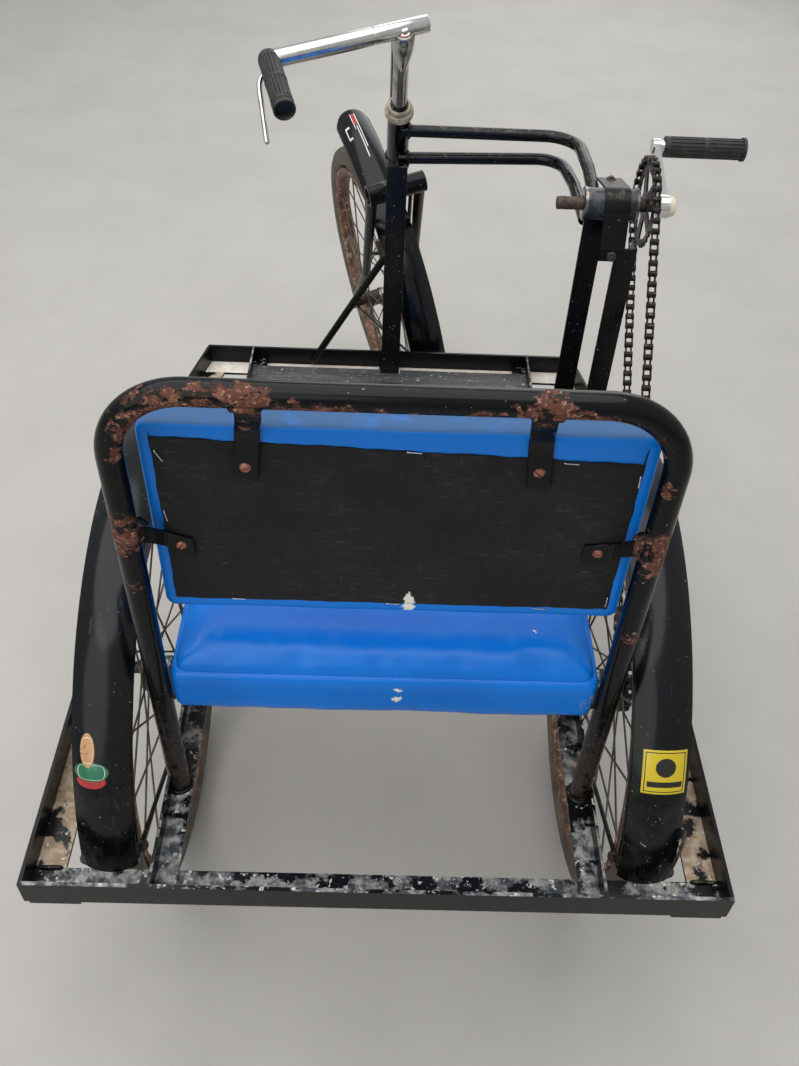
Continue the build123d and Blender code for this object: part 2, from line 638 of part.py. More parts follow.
# Head
def head():
    """Head post with gusset and brace, head tube with its cups, and the two pipes that brace the crank."""
    rear = FRONT_Y - POST_LEG
    top = HEAD_Z - POST_SHORT
    post = post_angle(-POST_LEG / 2, rear, POST_LEG, POST_T, FLANGE_TOP, top, 1, 1)
    post -= block(-POST_LEG, POST_LEG, FRONT_Y - LEG_T, FRONT_Y + LEG, 0, FRAME_TOP)
    low_end = HEAD_TOP - AXIS_UP * HEAD_LEN
    gusset = make_face(Polyline(
        (rear + POST_T, top - GUSSET_HIGH), (low_end.Y, low_end.Z + CUP_R), (low_end.Y, low_end.Z),
        (rear + POST_T, HEAD_Z - GUSSET_LOW), close=True))
    post += extrude(Plane.YZ * gusset, POST_T)
    foot = (-BRACE_OUT, rear + POST_LEG / 4 + BRACE_R / 2, FLANGE_TOP + BRACE_R - 1)
    brace = rod((0, foot[1], FRAME_TOP + BRACE_TOP), foot, BRACE_R)
    brace -= block(POST_T - POST_LEG / 2, POST_LEG, rear, FRONT_Y, 0, HEAD_Z)
    brace -= block(-HALF_WIDTH, HALF_WIDTH, rear - LEG, FRONT_Y + LEG, 0, FLANGE_TOP)
    post += brace
    length = HEAD_LEN + CUP_T
    foot = HEAD_TOP - AXIS_UP * (length + RACE_T + CUP_T)
    shape = rod(tuple(HEAD_TOP + AXIS_UP * CUP_T), tuple(foot), HEAD_R)
    cups = rod(tuple(HEAD_TOP + AXIS_UP * CUP_T), tuple(HEAD_TOP - AXIS_UP * CUP_T), CUP_R + 0.5)
    low_cup = rod(tuple(low_end + AXIS_UP * CUP_T), tuple(low_end - AXIS_UP * (RACE_T + CUP_T)), CUP_R + 0.5)
    put("head_post", post - shape - cups - low_cup)
    bore = STEERER_R + RUN_GAP
    tube = Rot(0, -90, 0) * turned([
        (1, bore), (1, CUP_R - 2), (-1, CUP_R), (1 - CUP_T, CUP_R), (-1 - CUP_T, HEAD_R),
        (CUP_T + 1 - HEAD_LEN, HEAD_R), (CUP_T - 1 - HEAD_LEN, CUP_R), (1 - HEAD_LEN, CUP_R),
        (-HEAD_LEN - CUP_LIP, CUP_R - 2), (-HEAD_LEN - CUP_LIP, bore),
    ])
    put("head_tube", steer(tube))
    shell = along_x(BRACKET_LEFT, BRACKET_RIGHT, CRANK_Y, CRANK_Z, BRACKET_R)
    post_x = BRACKET_LEFT + LEFT_POST_IN
    pipes = (
        # name, height at the head, bent end X, height at the crank
        ("upper", HEAD_Z - UPPER_PIPE_DROP, post_x + UPPER_PIPE_SHIFT, CRANK_Z - UPPER_PIPE_END),
        ("lower", HEAD_Z - LOWER_PIPE_DROP, post_x + LOWER_PIPE_SHIFT, CRANK_Z - LOWER_PIPE_END),
    )
    y0 = HEAD_Y - PIPE_REAR
    for name, z, end_x, end_z in pipes:
        end_y = CRANK_Y + LEFT_POST_AHEAD + CRANK_POST / 2
        points = [
            (HEAD_R - 1, y0, z), (end_x - PIPE_BACK, y0 - PIPE_OUT, z), (end_x, y0 - PIPE_OUT - PIPE_TURN, z),
            (end_x, end_y, end_z)]
        put(f"{name}_stay", bent_rod(points, PIPE_BEND, PIPE_R) - shape - shell)


# Steering
def steering():
    """Fork, front axle, mudguard, stem, handlebar with its one grip, and the rod brake."""
    crown = -CROWN_DROP
    tip = -HUB_DROP
    fork = rod((0, 0, crown), (0, 0, LOCKNUT_T), STEERER_R)
    fork += Pos(0, 0, -HEAD_LEN - CUP_LIP - RUN_GAP - RACE_T / 2) * Cylinder(CUP_R, RACE_T)
    half = BLADE_TOP_X + CROWN_END
    fork += along_x(-half, half, 0, crown, CROWN_R)
    mid_z = crown - BLADE_BEND
    for side in (-1, 1):
        bore_end = side * (STEERER_R + 2)
        fork -= along_x(bore_end, side * (half + 1), 0, crown, CROWN_R - CROWN_WALL)
        head_end = (side * BLADE_TOP_X, 0, crown - CROWN_R + CROWN_WALL)
        mid = (side * (BLADE_TOP_X + DROPOUT_X) / 2, FORK_OFFSET / 4, mid_z)
        low = (side * DROPOUT_X, FORK_OFFSET, tip + DROPOUT_W)
        blade = cone_rod(head_end, mid, BLADE_R, BLADE_TIP_R) + Pos(*mid) * Sphere(BLADE_TIP_R)
        blade += rod(mid, low, BLADE_TIP_R)
        fork += blade
        x0 = side * DROPOUT_X - DROPOUT_T / 2
        wide = DROPOUT_W / 2
        plate = block(x0, x0 + DROPOUT_T, FORK_OFFSET - wide, FORK_OFFSET + wide, tip, tip + 1.2 * DROPOUT_W)
        plate += along_x(x0, x0 + DROPOUT_T, FORK_OFFSET, tip, wide)
        fork += plate
    fork -= along_x(-2 * DROPOUT_X, 2 * DROPOUT_X, FORK_OFFSET, tip, AXLE_R)
    put("fork", steer(fork))
    out = DROPOUT_X + DROPOUT_T / 2
    far = out + STAY_EYE_T
    axle = along_x(-far - NUT_T - AXLE_END, far + NUT_T + AXLE_END, 0, 0, AXLE_R)
    for side in (-1, 1):
        axle += hex_nut(side * far, 0, 0, AXLE_R / 2, side)
        near = FRONT_HUB_HALF + SPACER_GAP
        axle += along_x(side * near, side * (DROPOUT_X - DROPOUT_T / 2), 0, 0, SPACER_R)
    put("front_axle", tilt(axle))
    guard = guard_shell(FRONT_GUARD_FROM - RAKE, FRONT_GUARD_TO - RAKE)
    for side in (-1, 1):
        eye_x = side * (out + STAY_EYE_T / 2)
        guard += guard_stay(side, eye_x, 0, 0, FRONT_STAY_AT, AXLE_R, side * (STAY_R + SOFT_GAP))
    guard_top = sqrt((GUARD_R - GUARD_T / 2) ** 2 - FORK_OFFSET**2)
    tab = Pos(0, -FORK_OFFSET, (guard_top + HUB_DROP - CROWN_DROP) / 2)
    tab = tab * Box(BRACKET_W, BRACKET_T, abs(HUB_DROP - CROWN_DROP - guard_top))
    tab -= along_x(-half, half, -FORK_OFFSET, HUB_DROP - CROWN_DROP, CROWN_R)
    put("front_mudguard", tilt(guard + tab))
    rise = STEM_RISE
    stem = Pos(0, 0, LOCKNUT_T + (rise - LOCKNUT_T) / 2) * Cylinder(STEM_R, rise - LOCKNUT_T)
    stem += Pos(0, 0, LOCKNUT_T) * extrude(RegularPolygon(CUP_R - 2, 6), LOCKNUT_T)
    stem += along_x(-CLAMP_W / 2, CLAMP_W / 2, 0, rise, CLAMP_R)
    stem += Pos(0, 0, rise + CLAMP_R) * Cylinder(STEM_R - 1, HEAD_BOLT_T)
    stem -= along_x(-BAR_LEFT, BAR_LEFT, 0, rise, SLEEVE_R)
    put("stem", steer(stem))
    bar = along_x(-BAR_LEFT, CLAMP_W / 2, 0, rise, SLEEVE_R) + along_x(0, BAR_RIGHT, 0, rise, BAR_R)
    end = Vector(-BAR_LEFT, 0, rise)
    flat = cos(radians(GRIP_UP))
    back = Vector(flat * sin(radians(GRIP_OUT)), -flat * cos(radians(GRIP_OUT)), sin(radians(GRIP_UP)))
    stub = rod(tuple(end), tuple(end + back * (GRIP_START + GRIP_LEN - GRIP_END)), BAR_R)
    bar += Pos(*end) * Sphere(SLEEVE_R) + stub
    put("handlebar", steer(bar))
    grip = Plane(origin=end + back * GRIP_START, x_dir=back, z_dir=(1, 0, 0)) * fluted_grip(GRIP_LEN, 0)
    put("handlebar_grip", steer(grip - stub))
    brake()


def brake():
    """Rod brake: hand lever under the grip, pull rod down the head, and the stirrup with its two shoes."""
    rise = STEM_RISE
    pivot = (LEVER_IN - BAR_LEFT, -SLEEVE_R - LEVER_R, rise - SLEEVE_R - 2 * LEVER_R)
    under = rise - SLEEVE_R - LINK_R
    tip = (-BAR_LEFT, -LEVER_BACK, rise - LEVER_DROP)
    lever = bent_rod([(pivot[0], 0, under), pivot, tip], 3 * LEVER_R, LEVER_R)
    lever += Pos(*tip) * Sphere(LEVER_R + 1)
    lever -= along_x(-BAR_LEFT, 0, 0, rise, SLEEVE_R)
    put("brake_lever", steer(lever))
    guard_top = sqrt(GUARD_R**2 - FORK_OFFSET**2) - HUB_DROP
    bridge = (guard_top - CROWN_DROP) / 2
    front = CROWN_R + STIRRUP_R + BLADE_GAP
    shoe_r = RIM_IN - SHOE_GAP - SHOE_H
    leg_foot = sqrt(shoe_r**2 - (front - FORK_OFFSET) ** 2) - HUB_DROP
    rod_x = -CUP_R - LINK_R - LINK_GAP
    pull = bent_rod([
        (pivot[0] + LEVER_R, 0, under), (rod_x, 0, under), (rod_x, front, under - LINK_STEP),
        (rod_x, front, LINK_KNEE - CROWN_DROP), (0, front, bridge)], LINK_BEND, LINK_R)
    yoke = bent_rod([
        (-RIM_BASE - SHOE_W, front, leg_foot), (-STIRRUP_X, front, leg_foot), (-STIRRUP_X, front, bridge),
        (STIRRUP_X, front, bridge), (STIRRUP_X, front, leg_foot),
        (RIM_BASE + SHOE_W, front, leg_foot)], STIRRUP_BEND, STIRRUP_R)
    at = degrees(atan2(leg_foot + HUB_DROP, front - FORK_OFFSET)) - 90
    for side in (-1, 1):
        shoe = Pos(side * (RIM_BASE + SHOE_W), front, leg_foot) * Rot(at, 0, 0) * Box(SHOE_W, SHOE_L, SHOE_H)
        yoke += shoe
    linkage = pull + yoke - along_x(-BAR_LEFT, 0, 0, rise, SLEEVE_R)
    put("brake_linkage", steer(linkage))


# Crank
def sprocket(teeth, bore, arms):
    """Toothed plate about the X axis, its tooth tips just inside the chain's rollers."""
    tip = PITCH / (2 * sin(pi / teeth)) - ROLLER_R - TOOTH_GAP
    root = tip - TOOTH
    outline = []
    for i in range(teeth):
        for share, r in ((0.12, root), (0.38, tip), (0.62, tip), (0.88, root)):
            at = 2 * pi * (i + share) / teeth
            outline.append((r * cos(at), r * sin(at)))
    plate = make_face(Polyline(*outline, close=True)) - Circle(bore)
    if arms:
        rim = root - 2 * TOOTH
        boss = BOSS_R + TOOTH
        bar = Pos(rim / 2, 0) * Rectangle(rim + TOOTH, boss * 0.75)
        spokes = [Rot(0, 0, i * 360 / arms) * bar for i in range(arms)]
        window = Circle(rim) - Circle(boss) - spokes
        plate = plate - window
    return Rot(0, 90, 0) * extrude(plate, SPROCKET_T / 2, both=True)


def chain_pins():
    """Pin centres round the two sprockets in the (Y, Z) plane, one for each link."""
    lean = atan2(CRANK_Z - WHEEL_R, CRANK_Y)
    spread = acos((COG_R - RING_R) / CENTRES)
    run = sqrt(CENTRES**2 - (RING_R - COG_R) ** 2)
    ring_arc = 2 * spread * RING_R
    cog_arc = 2 * (pi - spread) * COG_R
    cog = Vector(0, WHEEL_R)
    ring = Vector(CRANK_Y, CRANK_Z)

    def around(centre, r, angle):
        return centre + Vector(cos(angle), sin(angle)) * r

    pins = []
    for i in range(LINKS):
        s = (2 * run + ring_arc + cog_arc) * i / LINKS
        if s < run:
            a = around(cog, COG_R, lean + spread)
            b = around(ring, RING_R, lean + spread)
            pin = a + (b - a) * (s / run)
        elif s < run + ring_arc:
            pin = around(ring, RING_R, lean + spread - (s - run) / RING_R)
        elif s < 2 * run + ring_arc:
            a = around(ring, RING_R, lean - spread)
            b = around(cog, COG_R, lean - spread)
            pin = a + (b - a) * ((s - run - ring_arc) / run)
        else:
            pin = around(cog, COG_R, lean - spread - (s - 2 * run - ring_arc) / COG_R)
        pins.append((pin.X, pin.Y))
    return pins


def chain_loop():
    """Chain as one loop: on each side a band of waisted link plates, joined by the rollers."""
    pins = chain_pins()
    n = len(pins)
    edges = ([], [])
    rollers = []
    for i in range(n):
        (ay, az), (y, z), (by, bz) = pins[i - 1], pins[i], pins[(i + 1) % n]
        along = Vector(by - ay, bz - az).normalized()
        across = Vector(-along.Y, along.X)
        ahead = Vector(by - y, bz - z)
        for k, line in zip((1, -1), edges):
            at_pin = Vector(y, z) + across * (k * PLATE_HIGH)
            waist = Vector(y, z) + ahead * 0.5 + Vector(-ahead.Y, ahead.X).normalized() * (k * PLATE_WAIST)
            line += [at_pin - along * 0.12 * PITCH, at_pin + along * 0.12 * PITCH, waist]
        turn = degrees(atan2(along.Y, along.X))
        roller = extrude(RegularPolygon(ROLLER_R, 6), CHAIN_GAP / 2, both=True)
        rollers.append(Pos(CHAIN_X, y, z) * Rot(turn, 0, 0) * Rot(0, 90, 0) * roller)
    faces = [make_face(Polyline(*[(p.X, p.Y) for p in line], close=True)) for line in edges]
    faces = sorted(faces, key=lambda face: face.area)
    band = faces[1] - faces[0]
    plates = []
    for x in (CHAIN_GAP / 2, -CHAIN_GAP / 2 - PLATE_T):
        side = Plane(origin=(CHAIN_X + x, 0, 0), x_dir=(0, 1, 0), z_dir=(1, 0, 0))
        plates.append(side * extrude(band, PLATE_T))
    return plates[0].fuse(plates[1], *rollers)


def saddle():
    """Strap bent over the bracket shell, from beside the upper pipe to the back of the right crank post."""
    back = -RIGHT_POST_BACK - CRANK_POST / 2
    foot = -RIGHT_POST_DROP - SADDLE_LAP
    arcs = []
    ends = []
    for r in (BRACKET_R, BRACKET_R + STRAP_T):
        on = [Vector(r * cos(radians(at)), r * sin(radians(at))) for at in (65, 120, 180)]
        arcs.append(ThreePointArc(*on))
        ends.append((on[0], on[2]))
    leg = Polyline(
        ends[1][1], (back - STRAP_T, -RIGHT_POST_DROP), (back - STRAP_T, foot), (back, foot),
        (back, -RIGHT_POST_DROP), ends[0][1])
    lip = Polyline(ends[0][0], (SADDLE_REACH, 2 * STRAP_T), (SADDLE_REACH, 3 * STRAP_T), ends[1][0])
    face = make_face([*arcs, leg, lip])
    x = BRACKET_RIGHT - SADDLE_IN - SADDLE_W
    return Plane(origin=(x, CRANK_Y, CRANK_Z), x_dir=(0, 1, 0), z_dir=(1, 0, 0)) * extrude(face, SADDLE_W)


def crank():
    """Crank posts, bracket shell, spindle with ring and arm, handle grip, cog and chain."""
    shell = along_x(BRACKET_LEFT, BRACKET_RIGHT, CRANK_Y, CRANK_Z, BRACKET_R)
    collar = SPINDLE_R + SPINDLE_COLLAR
    cup = BRACKET_CUP_T
    inner = along_x(BRACKET_LEFT + cup, BRACKET_RIGHT - cup, CRANK_Y, CRANK_Z, BRACKET_R - BRACKET_WALL)
    through = along_x(BRACKET_LEFT - 1, BRACKET_RIGHT + 1, CRANK_Y, CRANK_Z, collar + RUN_GAP)
    put("bottom_bracket", shell - inner - through)
    half = CRANK_POST / 2
    posts = (
        # name, middle X, middle Y, top
        ("left", BRACKET_LEFT + LEFT_POST_IN, CRANK_Y + LEFT_POST_AHEAD, CRANK_Z),
        ("right", BRACKET_RIGHT - RIGHT_POST_IN, CRANK_Y - RIGHT_POST_BACK, CRANK_Z - RIGHT_POST_DROP),
    )
    for name, x, y, top in posts:
        post = post_angle(x + half, y - half, CRANK_POST, CRANK_POST_T, INNER_LOW, top, -1, 1) - shell
        if name == "right":
            post = post + saddle()
        put(f"{name}_crank_post", post)
    spindle = along_x(BRACKET_LEFT - SPINDLE_FREE, ARM_X + ARM_T / 2 + CAP_T, CRANK_Y, CRANK_Z, SPINDLE_R)
    spindle += along_x(BRACKET_LEFT, BRACKET_RIGHT, CRANK_Y, CRANK_Z, collar)
    cap = turned([(0, 0), (0, CAP_R), (CAP_T * 0.6, CAP_R), (CAP_T, CAP_R * 0.7), (CAP_T, 0)])
    put("crank_spindle", spindle + Pos(ARM_X + ARM_T / 2, CRANK_Y, CRANK_Z) * cap)
    put("chainring", Pos(CHAIN_X, CRANK_Y, CRANK_Z) * sprocket(RING_TEETH, SPINDLE_R, 5))
    toward_eye = (0, EYE_Y - CRANK_Y, EYE_Z - CRANK_Z)
    swing = Plane(origin=(ARM_X, CRANK_Y, CRANK_Z), x_dir=toward_eye, z_dir=(1, 0, 0))
    web = make_hull(Circle(BOSS_R * 0.85).edges() + (Pos(ARM_LEN, 0) * Circle(EYE_R * 0.8)).edges())
    arm = extrude(web, ARM_T * 0.32, both=True)
    arm = arm + Cylinder(BOSS_R, ARM_T) + Pos(ARM_LEN, 0, 0) * Cylinder(EYE_R, ARM_T * 0.85)
    arm = arm - Cylinder(SPINDLE_R, 2 * ARM_T)
    arm = swing * arm
    arm += along_x(ARM_X, HANDLE_END - CAP_T / 2, EYE_Y, EYE_Z, PIN_R)
    arm += along_x(ARM_X, HANDLE_START - 1, EYE_Y, EYE_Z, COLLAR_R)
    put("crank_arm", arm)
    grip = Pos(HANDLE_START, EYE_Y, EYE_Z) * fluted_grip(HANDLE_LEN, PIN_R + RUN_GAP)
    put("crank_grip", grip)
    bore = AXLE_R + RUN_GAP
    boss = Cylinder(COG_BOSS_R, SPROCKET_T + 2 * COG_SHOULDER) - Cylinder(bore, SPROCKET_T * 9)
    boss = Rot(0, 90, 0) * boss
    put("freewheel_cog", Pos(CHAIN_X, 0, WHEEL_R) * (sprocket(COG_TEETH, bore, 0) + boss))
    put("chain", chain_loop())


tray()
wheels()
seat()
head()
steering()
crank()
print("middle", MIDDLE_X, MIDDLE_Y, "hub", tuple(HUB), "crank", CRANK_Y, CRANK_Z, "drop", HUB_DROP)
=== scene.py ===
from math import pi, radians

import bmesh
import bpy
import numpy as np
from mathutils import Matrix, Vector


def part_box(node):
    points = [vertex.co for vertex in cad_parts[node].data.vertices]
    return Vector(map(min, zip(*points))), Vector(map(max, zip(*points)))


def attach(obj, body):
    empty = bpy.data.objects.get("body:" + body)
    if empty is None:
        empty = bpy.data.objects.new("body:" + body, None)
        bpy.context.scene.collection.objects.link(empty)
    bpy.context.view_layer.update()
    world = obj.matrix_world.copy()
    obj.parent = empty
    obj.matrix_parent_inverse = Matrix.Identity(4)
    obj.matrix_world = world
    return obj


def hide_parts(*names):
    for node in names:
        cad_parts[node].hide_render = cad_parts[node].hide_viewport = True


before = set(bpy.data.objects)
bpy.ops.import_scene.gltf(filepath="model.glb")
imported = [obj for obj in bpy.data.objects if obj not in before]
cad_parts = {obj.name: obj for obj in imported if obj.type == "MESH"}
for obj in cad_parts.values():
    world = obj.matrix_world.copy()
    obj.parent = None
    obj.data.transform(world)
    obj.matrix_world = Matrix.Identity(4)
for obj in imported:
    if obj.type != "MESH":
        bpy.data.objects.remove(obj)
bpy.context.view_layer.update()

bl_info = {
    "name": "Hand-cranked tricycle dressing",
    "version": (1, 0, 0),
    "blender": (4, 5, 0),
    "location": "View3D > Sidebar > Tricycle",
    "description": "Paint, rust, cloth, rubber and small fittings for the packed hand-cranked tricycle",
    "category": "Object",
}

# Shared frame. Points are written in millimetres from the middle of the rear axle line, on the floor, with
# X to the right and Y forward, and place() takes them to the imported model's frame.
REAR_LOW, REAR_HIGH = (np.array(corner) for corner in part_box("rear_bar"))
TYRE_LOW, TYRE_HIGH = (np.array(corner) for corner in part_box("left_tyre"))
FRONT_LOW, FRONT_HIGH = (np.array(corner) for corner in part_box("front_tyre"))
MIDDLE = np.array([(REAR_LOW[0] + REAR_HIGH[0]) / 2, (TYRE_LOW[1] + TYRE_HIGH[1]) / 2, 0.0])

# Sizes of the solids that the pieces sit on, in millimetres
TRACK = 280.0
WHEEL_R = 287.0
TYRE_R = 18.5
RIM_OUT = 250.8
RIM_IN = 238.0
SPOKES = 32
SPOKE_STAGGER = 3.0
FRAME_TOP = 380.0
FRAME_LOW = 345.0
REAR_Y = float(REAR_LOW[1] - MIDDLE[1]) * 1000
INNER_TOP = 358.0
GUARD_R = 334.0
GUARD_HALF = 29.0
GUARD_Y = 14.0
GUARD_Z = 291.0
HOOP_Y = -214.0
HOOP_TOP = 892.8
HOOP_BEND = 64.0
HOOP_R = 11.2
HOOP_X = 221.5
SEAT_HALF = 208.0
SEAT_REAR = -219.0
SEAT_FRONT = 185.0
BOARD_TOP = 522.0
SEAT_TOP = 584.0
BACK_X = 4.0
BACK_HALF = 209.0
BACK_REAR = -190.0
PAD_REAR = -177.7
PAD_FRONT = -150.0
BACK_LOW = 632.0
BACK_HIGH = 845.0
HEAD_TOP = np.array([0.0, 600.0, 787.0])
POST_REAR = 582.0
POST_TOP = 712.0
PIPE_R = 8.5
BAR_LEFT = np.array([-173.3, 2.0, 152.7])
BAR_RIGHT = np.array([34.0, -0.4, 147.1])
CRANK_Y = 399.211
CRANK_Z = 755.633
CHAIN_X = 317.0
BRACKET_RIGHT = 306.0
BRACKET_LEFT = 238.0
PITCH = 12.7
RING_TEETH = 28
COG_TEETH = 18
LINKS = 120

# Directions: the front wheel's axle, straight ahead of it, and up along the raked steering axis
RAKE, TURN = radians(30), radians(20.4)
UP = np.array([0.0, -np.sin(RAKE), np.cos(RAKE)])
SIDE = np.array([np.cos(TURN), np.sin(TURN) * np.cos(RAKE), np.sin(TURN) * np.sin(RAKE)])
STEERED = np.array([SIDE, np.cross(UP, SIDE), UP])
SQUARE = np.eye(3)
WHEELS = (
    # name, centre, axes
    ("left", np.array([-TRACK, 0.0, WHEEL_R]), SQUARE),
    ("right", np.array([TRACK, 0.0, WHEEL_R]), SQUARE),
    ("front", ((FRONT_LOW + FRONT_HIGH) / 2 - MIDDLE) * 1000, STEERED),
)
HUB = WHEELS[2][1]
HEAD_AXES = np.array([UP, SIDE, np.cross(UP, SIDE)])


class TricycleColours(bpy.types.PropertyGroup):
    """Main colours, as they look on the object."""

    black: bpy.props.StringProperty(
        name="Black enamel", description="Frame paint, sRGB hex", default="0B0C0E")
    gloss: bpy.props.StringProperty(
        name="Gloss black", description="Mudguard paint, sRGB hex", default="07090B")
    vinyl: bpy.props.StringProperty(
        name="Blue vinyl", description="Seat and backrest cover, sRGB hex", default="0074D6")
    cloth: bpy.props.StringProperty(
        name="Backing cloth", description="Cloth on the backrest, sRGB hex", default="1C1C1D")
    rust: bpy.props.StringProperty(
        name="Rust", description="Rust and primer, sRGB hex", default="5E3B2F")
    rubber: bpy.props.StringProperty(
        name="Rubber", description="Tyres, sRGB hex", default="2A2725")
    floor: bpy.props.StringProperty(
        name="Floor", description="Floor and backdrop, sRGB hex", default="B9B6B0")


class TricycleSizes(bpy.types.PropertyGroup):
    """Sizes of the added detail."""

    tread: bpy.props.FloatProperty(
        name="Tread depth", description="Depth of the tyre blocks in mm", default=1.3, min=0.2, max=3.0)
    pitches: bpy.props.IntProperty(
        name="Tread blocks", description="Blocks round each shoulder of a tyre", default=132, min=40, max=220)
    swell: bpy.props.FloatProperty(
        name="Cushion pressure", description="Cloth pressure in the padding", default=4.0, min=0.0, max=10.0)
    seat_cap: bpy.props.FloatProperty(
        name="Seat swell", description="Most that its cover moves, in mm", default=9.0, min=1.0, max=30.0)
    back_cap: bpy.props.FloatProperty(
        name="Backrest swell", description="Most that its cover moves, in mm", default=6.0, min=1.0, max=16.0)
    weld: bpy.props.FloatProperty(
        name="Weld bead", description="Half width of a weld bead in mm", default=3.0, min=0.5, max=6.0)
    staple: bpy.props.FloatProperty(
        name="Staple", description="Length of a staple's crown in mm", default=12.0, min=5.0, max=20.0)


# Shapes
def place(points):
    """Points in millimetres from the rear axle line, moved to the shared frame in metres."""
    return np.asarray(points, float) * 0.001 + MIDDLE


def unit(v):
    """A vector, or rows of vectors, at length one."""
    v = np.asarray(v, float)
    return v / np.linalg.norm(v, axis=-1, keepdims=True)


def facing(direction, up=(0.0, 0.0, 1.0)):
    """Three axes as rows: the first along direction, the others square to it, the third nearest to up."""
    x = unit(direction)
    y = unit(np.cross(up, x))
    return np.array([x, y, np.cross(x, y)])


def quads(n, m, round_n=False, round_m=False):
    """Four-cornered faces of an n by m grid of points, joined round where the grid closes."""
    i, j = np.meshgrid(np.arange(n if round_n else n - 1), np.arange(m if round_m else m - 1), indexing="ij")
    k, l = (i + 1) % n, (j + 1) % m
    return np.stack([i * m + j, k * m + j, k * m + l, i * m + l], -1).reshape(-1, 4)


def turned(profile, steps, axes=SQUARE, centre=(0, 0, 0), shape=None):
    """Surface of revolution: point = centre + along times the first axis + radius times (cos t times the
    second axis + sin t times the third), for profile rows of (along, radius). shape(t) scales each radius
    where given."""
    profile = np.asarray(profile, float)
    t = np.arange(steps) * 2 * pi / steps
    radius = profile[None, :, 1] * np.ones((steps, 1))
    if shape is not None:
        radius = radius * np.where(profile[None, :, 2] > 0, shape(t)[:, None], 1.0)
    along = profile[None, :, 0, None] * axes[0]
    out = radius[..., None] * (np.cos(t)[:, None, None] * axes[1] + np.sin(t)[:, None, None] * axes[2])
    return (along + out + np.asarray(centre, float)).reshape(-1, 3), [quads(steps, len(profile), True)]


def carried(path, section, closed=False, up=(0.0, 0.0, 1.0), round_section=True):
    """Section carried along a path: point = path point + side part times the side direction + lift times
    the lift direction, where side is the path's direction crossed with up. Section rows may differ along
    the path."""
    path = np.asarray(path, float)
    if closed:
        run = np.roll(path, -1, 0) - np.roll(path, 1, 0)
    else:
        run = np.gradient(path, axis=0)
    run = unit(run)
    side = unit(np.cross(run, up))
    lift = np.cross(side, run)
    section = np.broadcast_to(section, (len(path),) + np.shape(section)[-2:])
    points = path[:, None] + section[..., :1] * side[:, None] + section[..., 1:] * lift[:, None]
    return points.reshape(-1, 3), [quads(len(path), section.shape[1], closed, round_section)]


def round_bar(path, radius, sides=12, closed=False, up=(0.0, 0.0, 1.0)):
    """Round bar along a path, with one radius or one for each point; open ends shrink to a point."""
    path = np.asarray(path, float)
    radius = np.broadcast_to(radius, len(path)).astype(float)
    if not closed:
        step = unit(path[-1] - path[-2]) * 0.01
        path = np.concatenate([path[:1] - unit(path[1] - path[0]) * 0.01, path, path[-1:] + step])
        radius = np.concatenate([[0.0], radius, [0.0]])
    t = np.arange(sides) * 2 * pi / sides
    section = np.stack([np.cos(t), np.sin(t)], -1)[None] * radius[:, None, None]
    return carried(path, section, closed, up)


def smooth_line(points, step=2.0, rounding=8.0):
    """Points every step millimetres along straight runs, averaged over a rounding length to bend corners."""
    points = np.asarray(points, float)
    lengths = np.r_[0, np.cumsum(np.linalg.norm(np.diff(points, axis=0), axis=1))]
    s = np.linspace(0, lengths[-1], max(3, int(lengths[-1] / step)))
    line = np.stack([np.interp(s, lengths, points[:, k]) for k in range(3)], -1)
    half = int(rounding / step)
    if half:
        padded = np.concatenate([2 * line[:1] - line[half:0:-1], line, 2 * line[-1:] - line[-2:-half - 2:-1]])
        window = np.ones(2 * half + 1) / (2 * half + 1)
        line = np.stack([np.convolve(padded[:, k], window, "valid") for k in range(3)], -1)
    return line


def bent_line(corners, radius, step=3.0):
    """Points every few millimetres along straight runs that arcs of one radius join."""
    corners = np.asarray(corners, float)
    line = [corners[:1]]
    for a, b, c in zip(corners, corners[1:], corners[2:]):
        p, q = unit(a - b), unit(c - b)
        half = np.arccos(np.clip(p @ q, -1, 1)) / 2
        centre = b + unit(p + q) * radius / np.sin(half)
        x = unit(b + p * radius / np.tan(half) - centre)
        y = b + q * radius / np.tan(half) - centre
        y = unit(y - (y @ x) * x)
        t = np.linspace(0, pi - 2 * half, 2 + int(radius * (pi - 2 * half) / step))[:, None]
        line.append(centre + radius * (np.cos(t) * x + np.sin(t) * y))
    line = np.concatenate(line + [corners[-1:]])
    lengths = np.r_[0, np.cumsum(np.linalg.norm(np.diff(line, axis=0), axis=1))]
    s = np.linspace(0, lengths[-1], int(lengths[-1] / step))
    return np.stack([np.interp(s, lengths, line[:, k]) for k in range(3)], -1)


def pill(path, radius, sides=14, up=(0.0, 0.0, 1.0)):
    """Round bar with ball ends: near an end the radius falls as the root of 1 - (1 - distance / radius)^2."""
    path = np.asarray(path, float)
    s = np.r_[0, np.cumsum(np.linalg.norm(np.diff(path, axis=0), axis=1))]
    near = np.clip(np.minimum(s, s[-1] - s) / radius, 0, 1)
    return round_bar(path, radius * np.sqrt(np.maximum(1 - (1 - near) ** 2, 0.02)), sides, up=up)


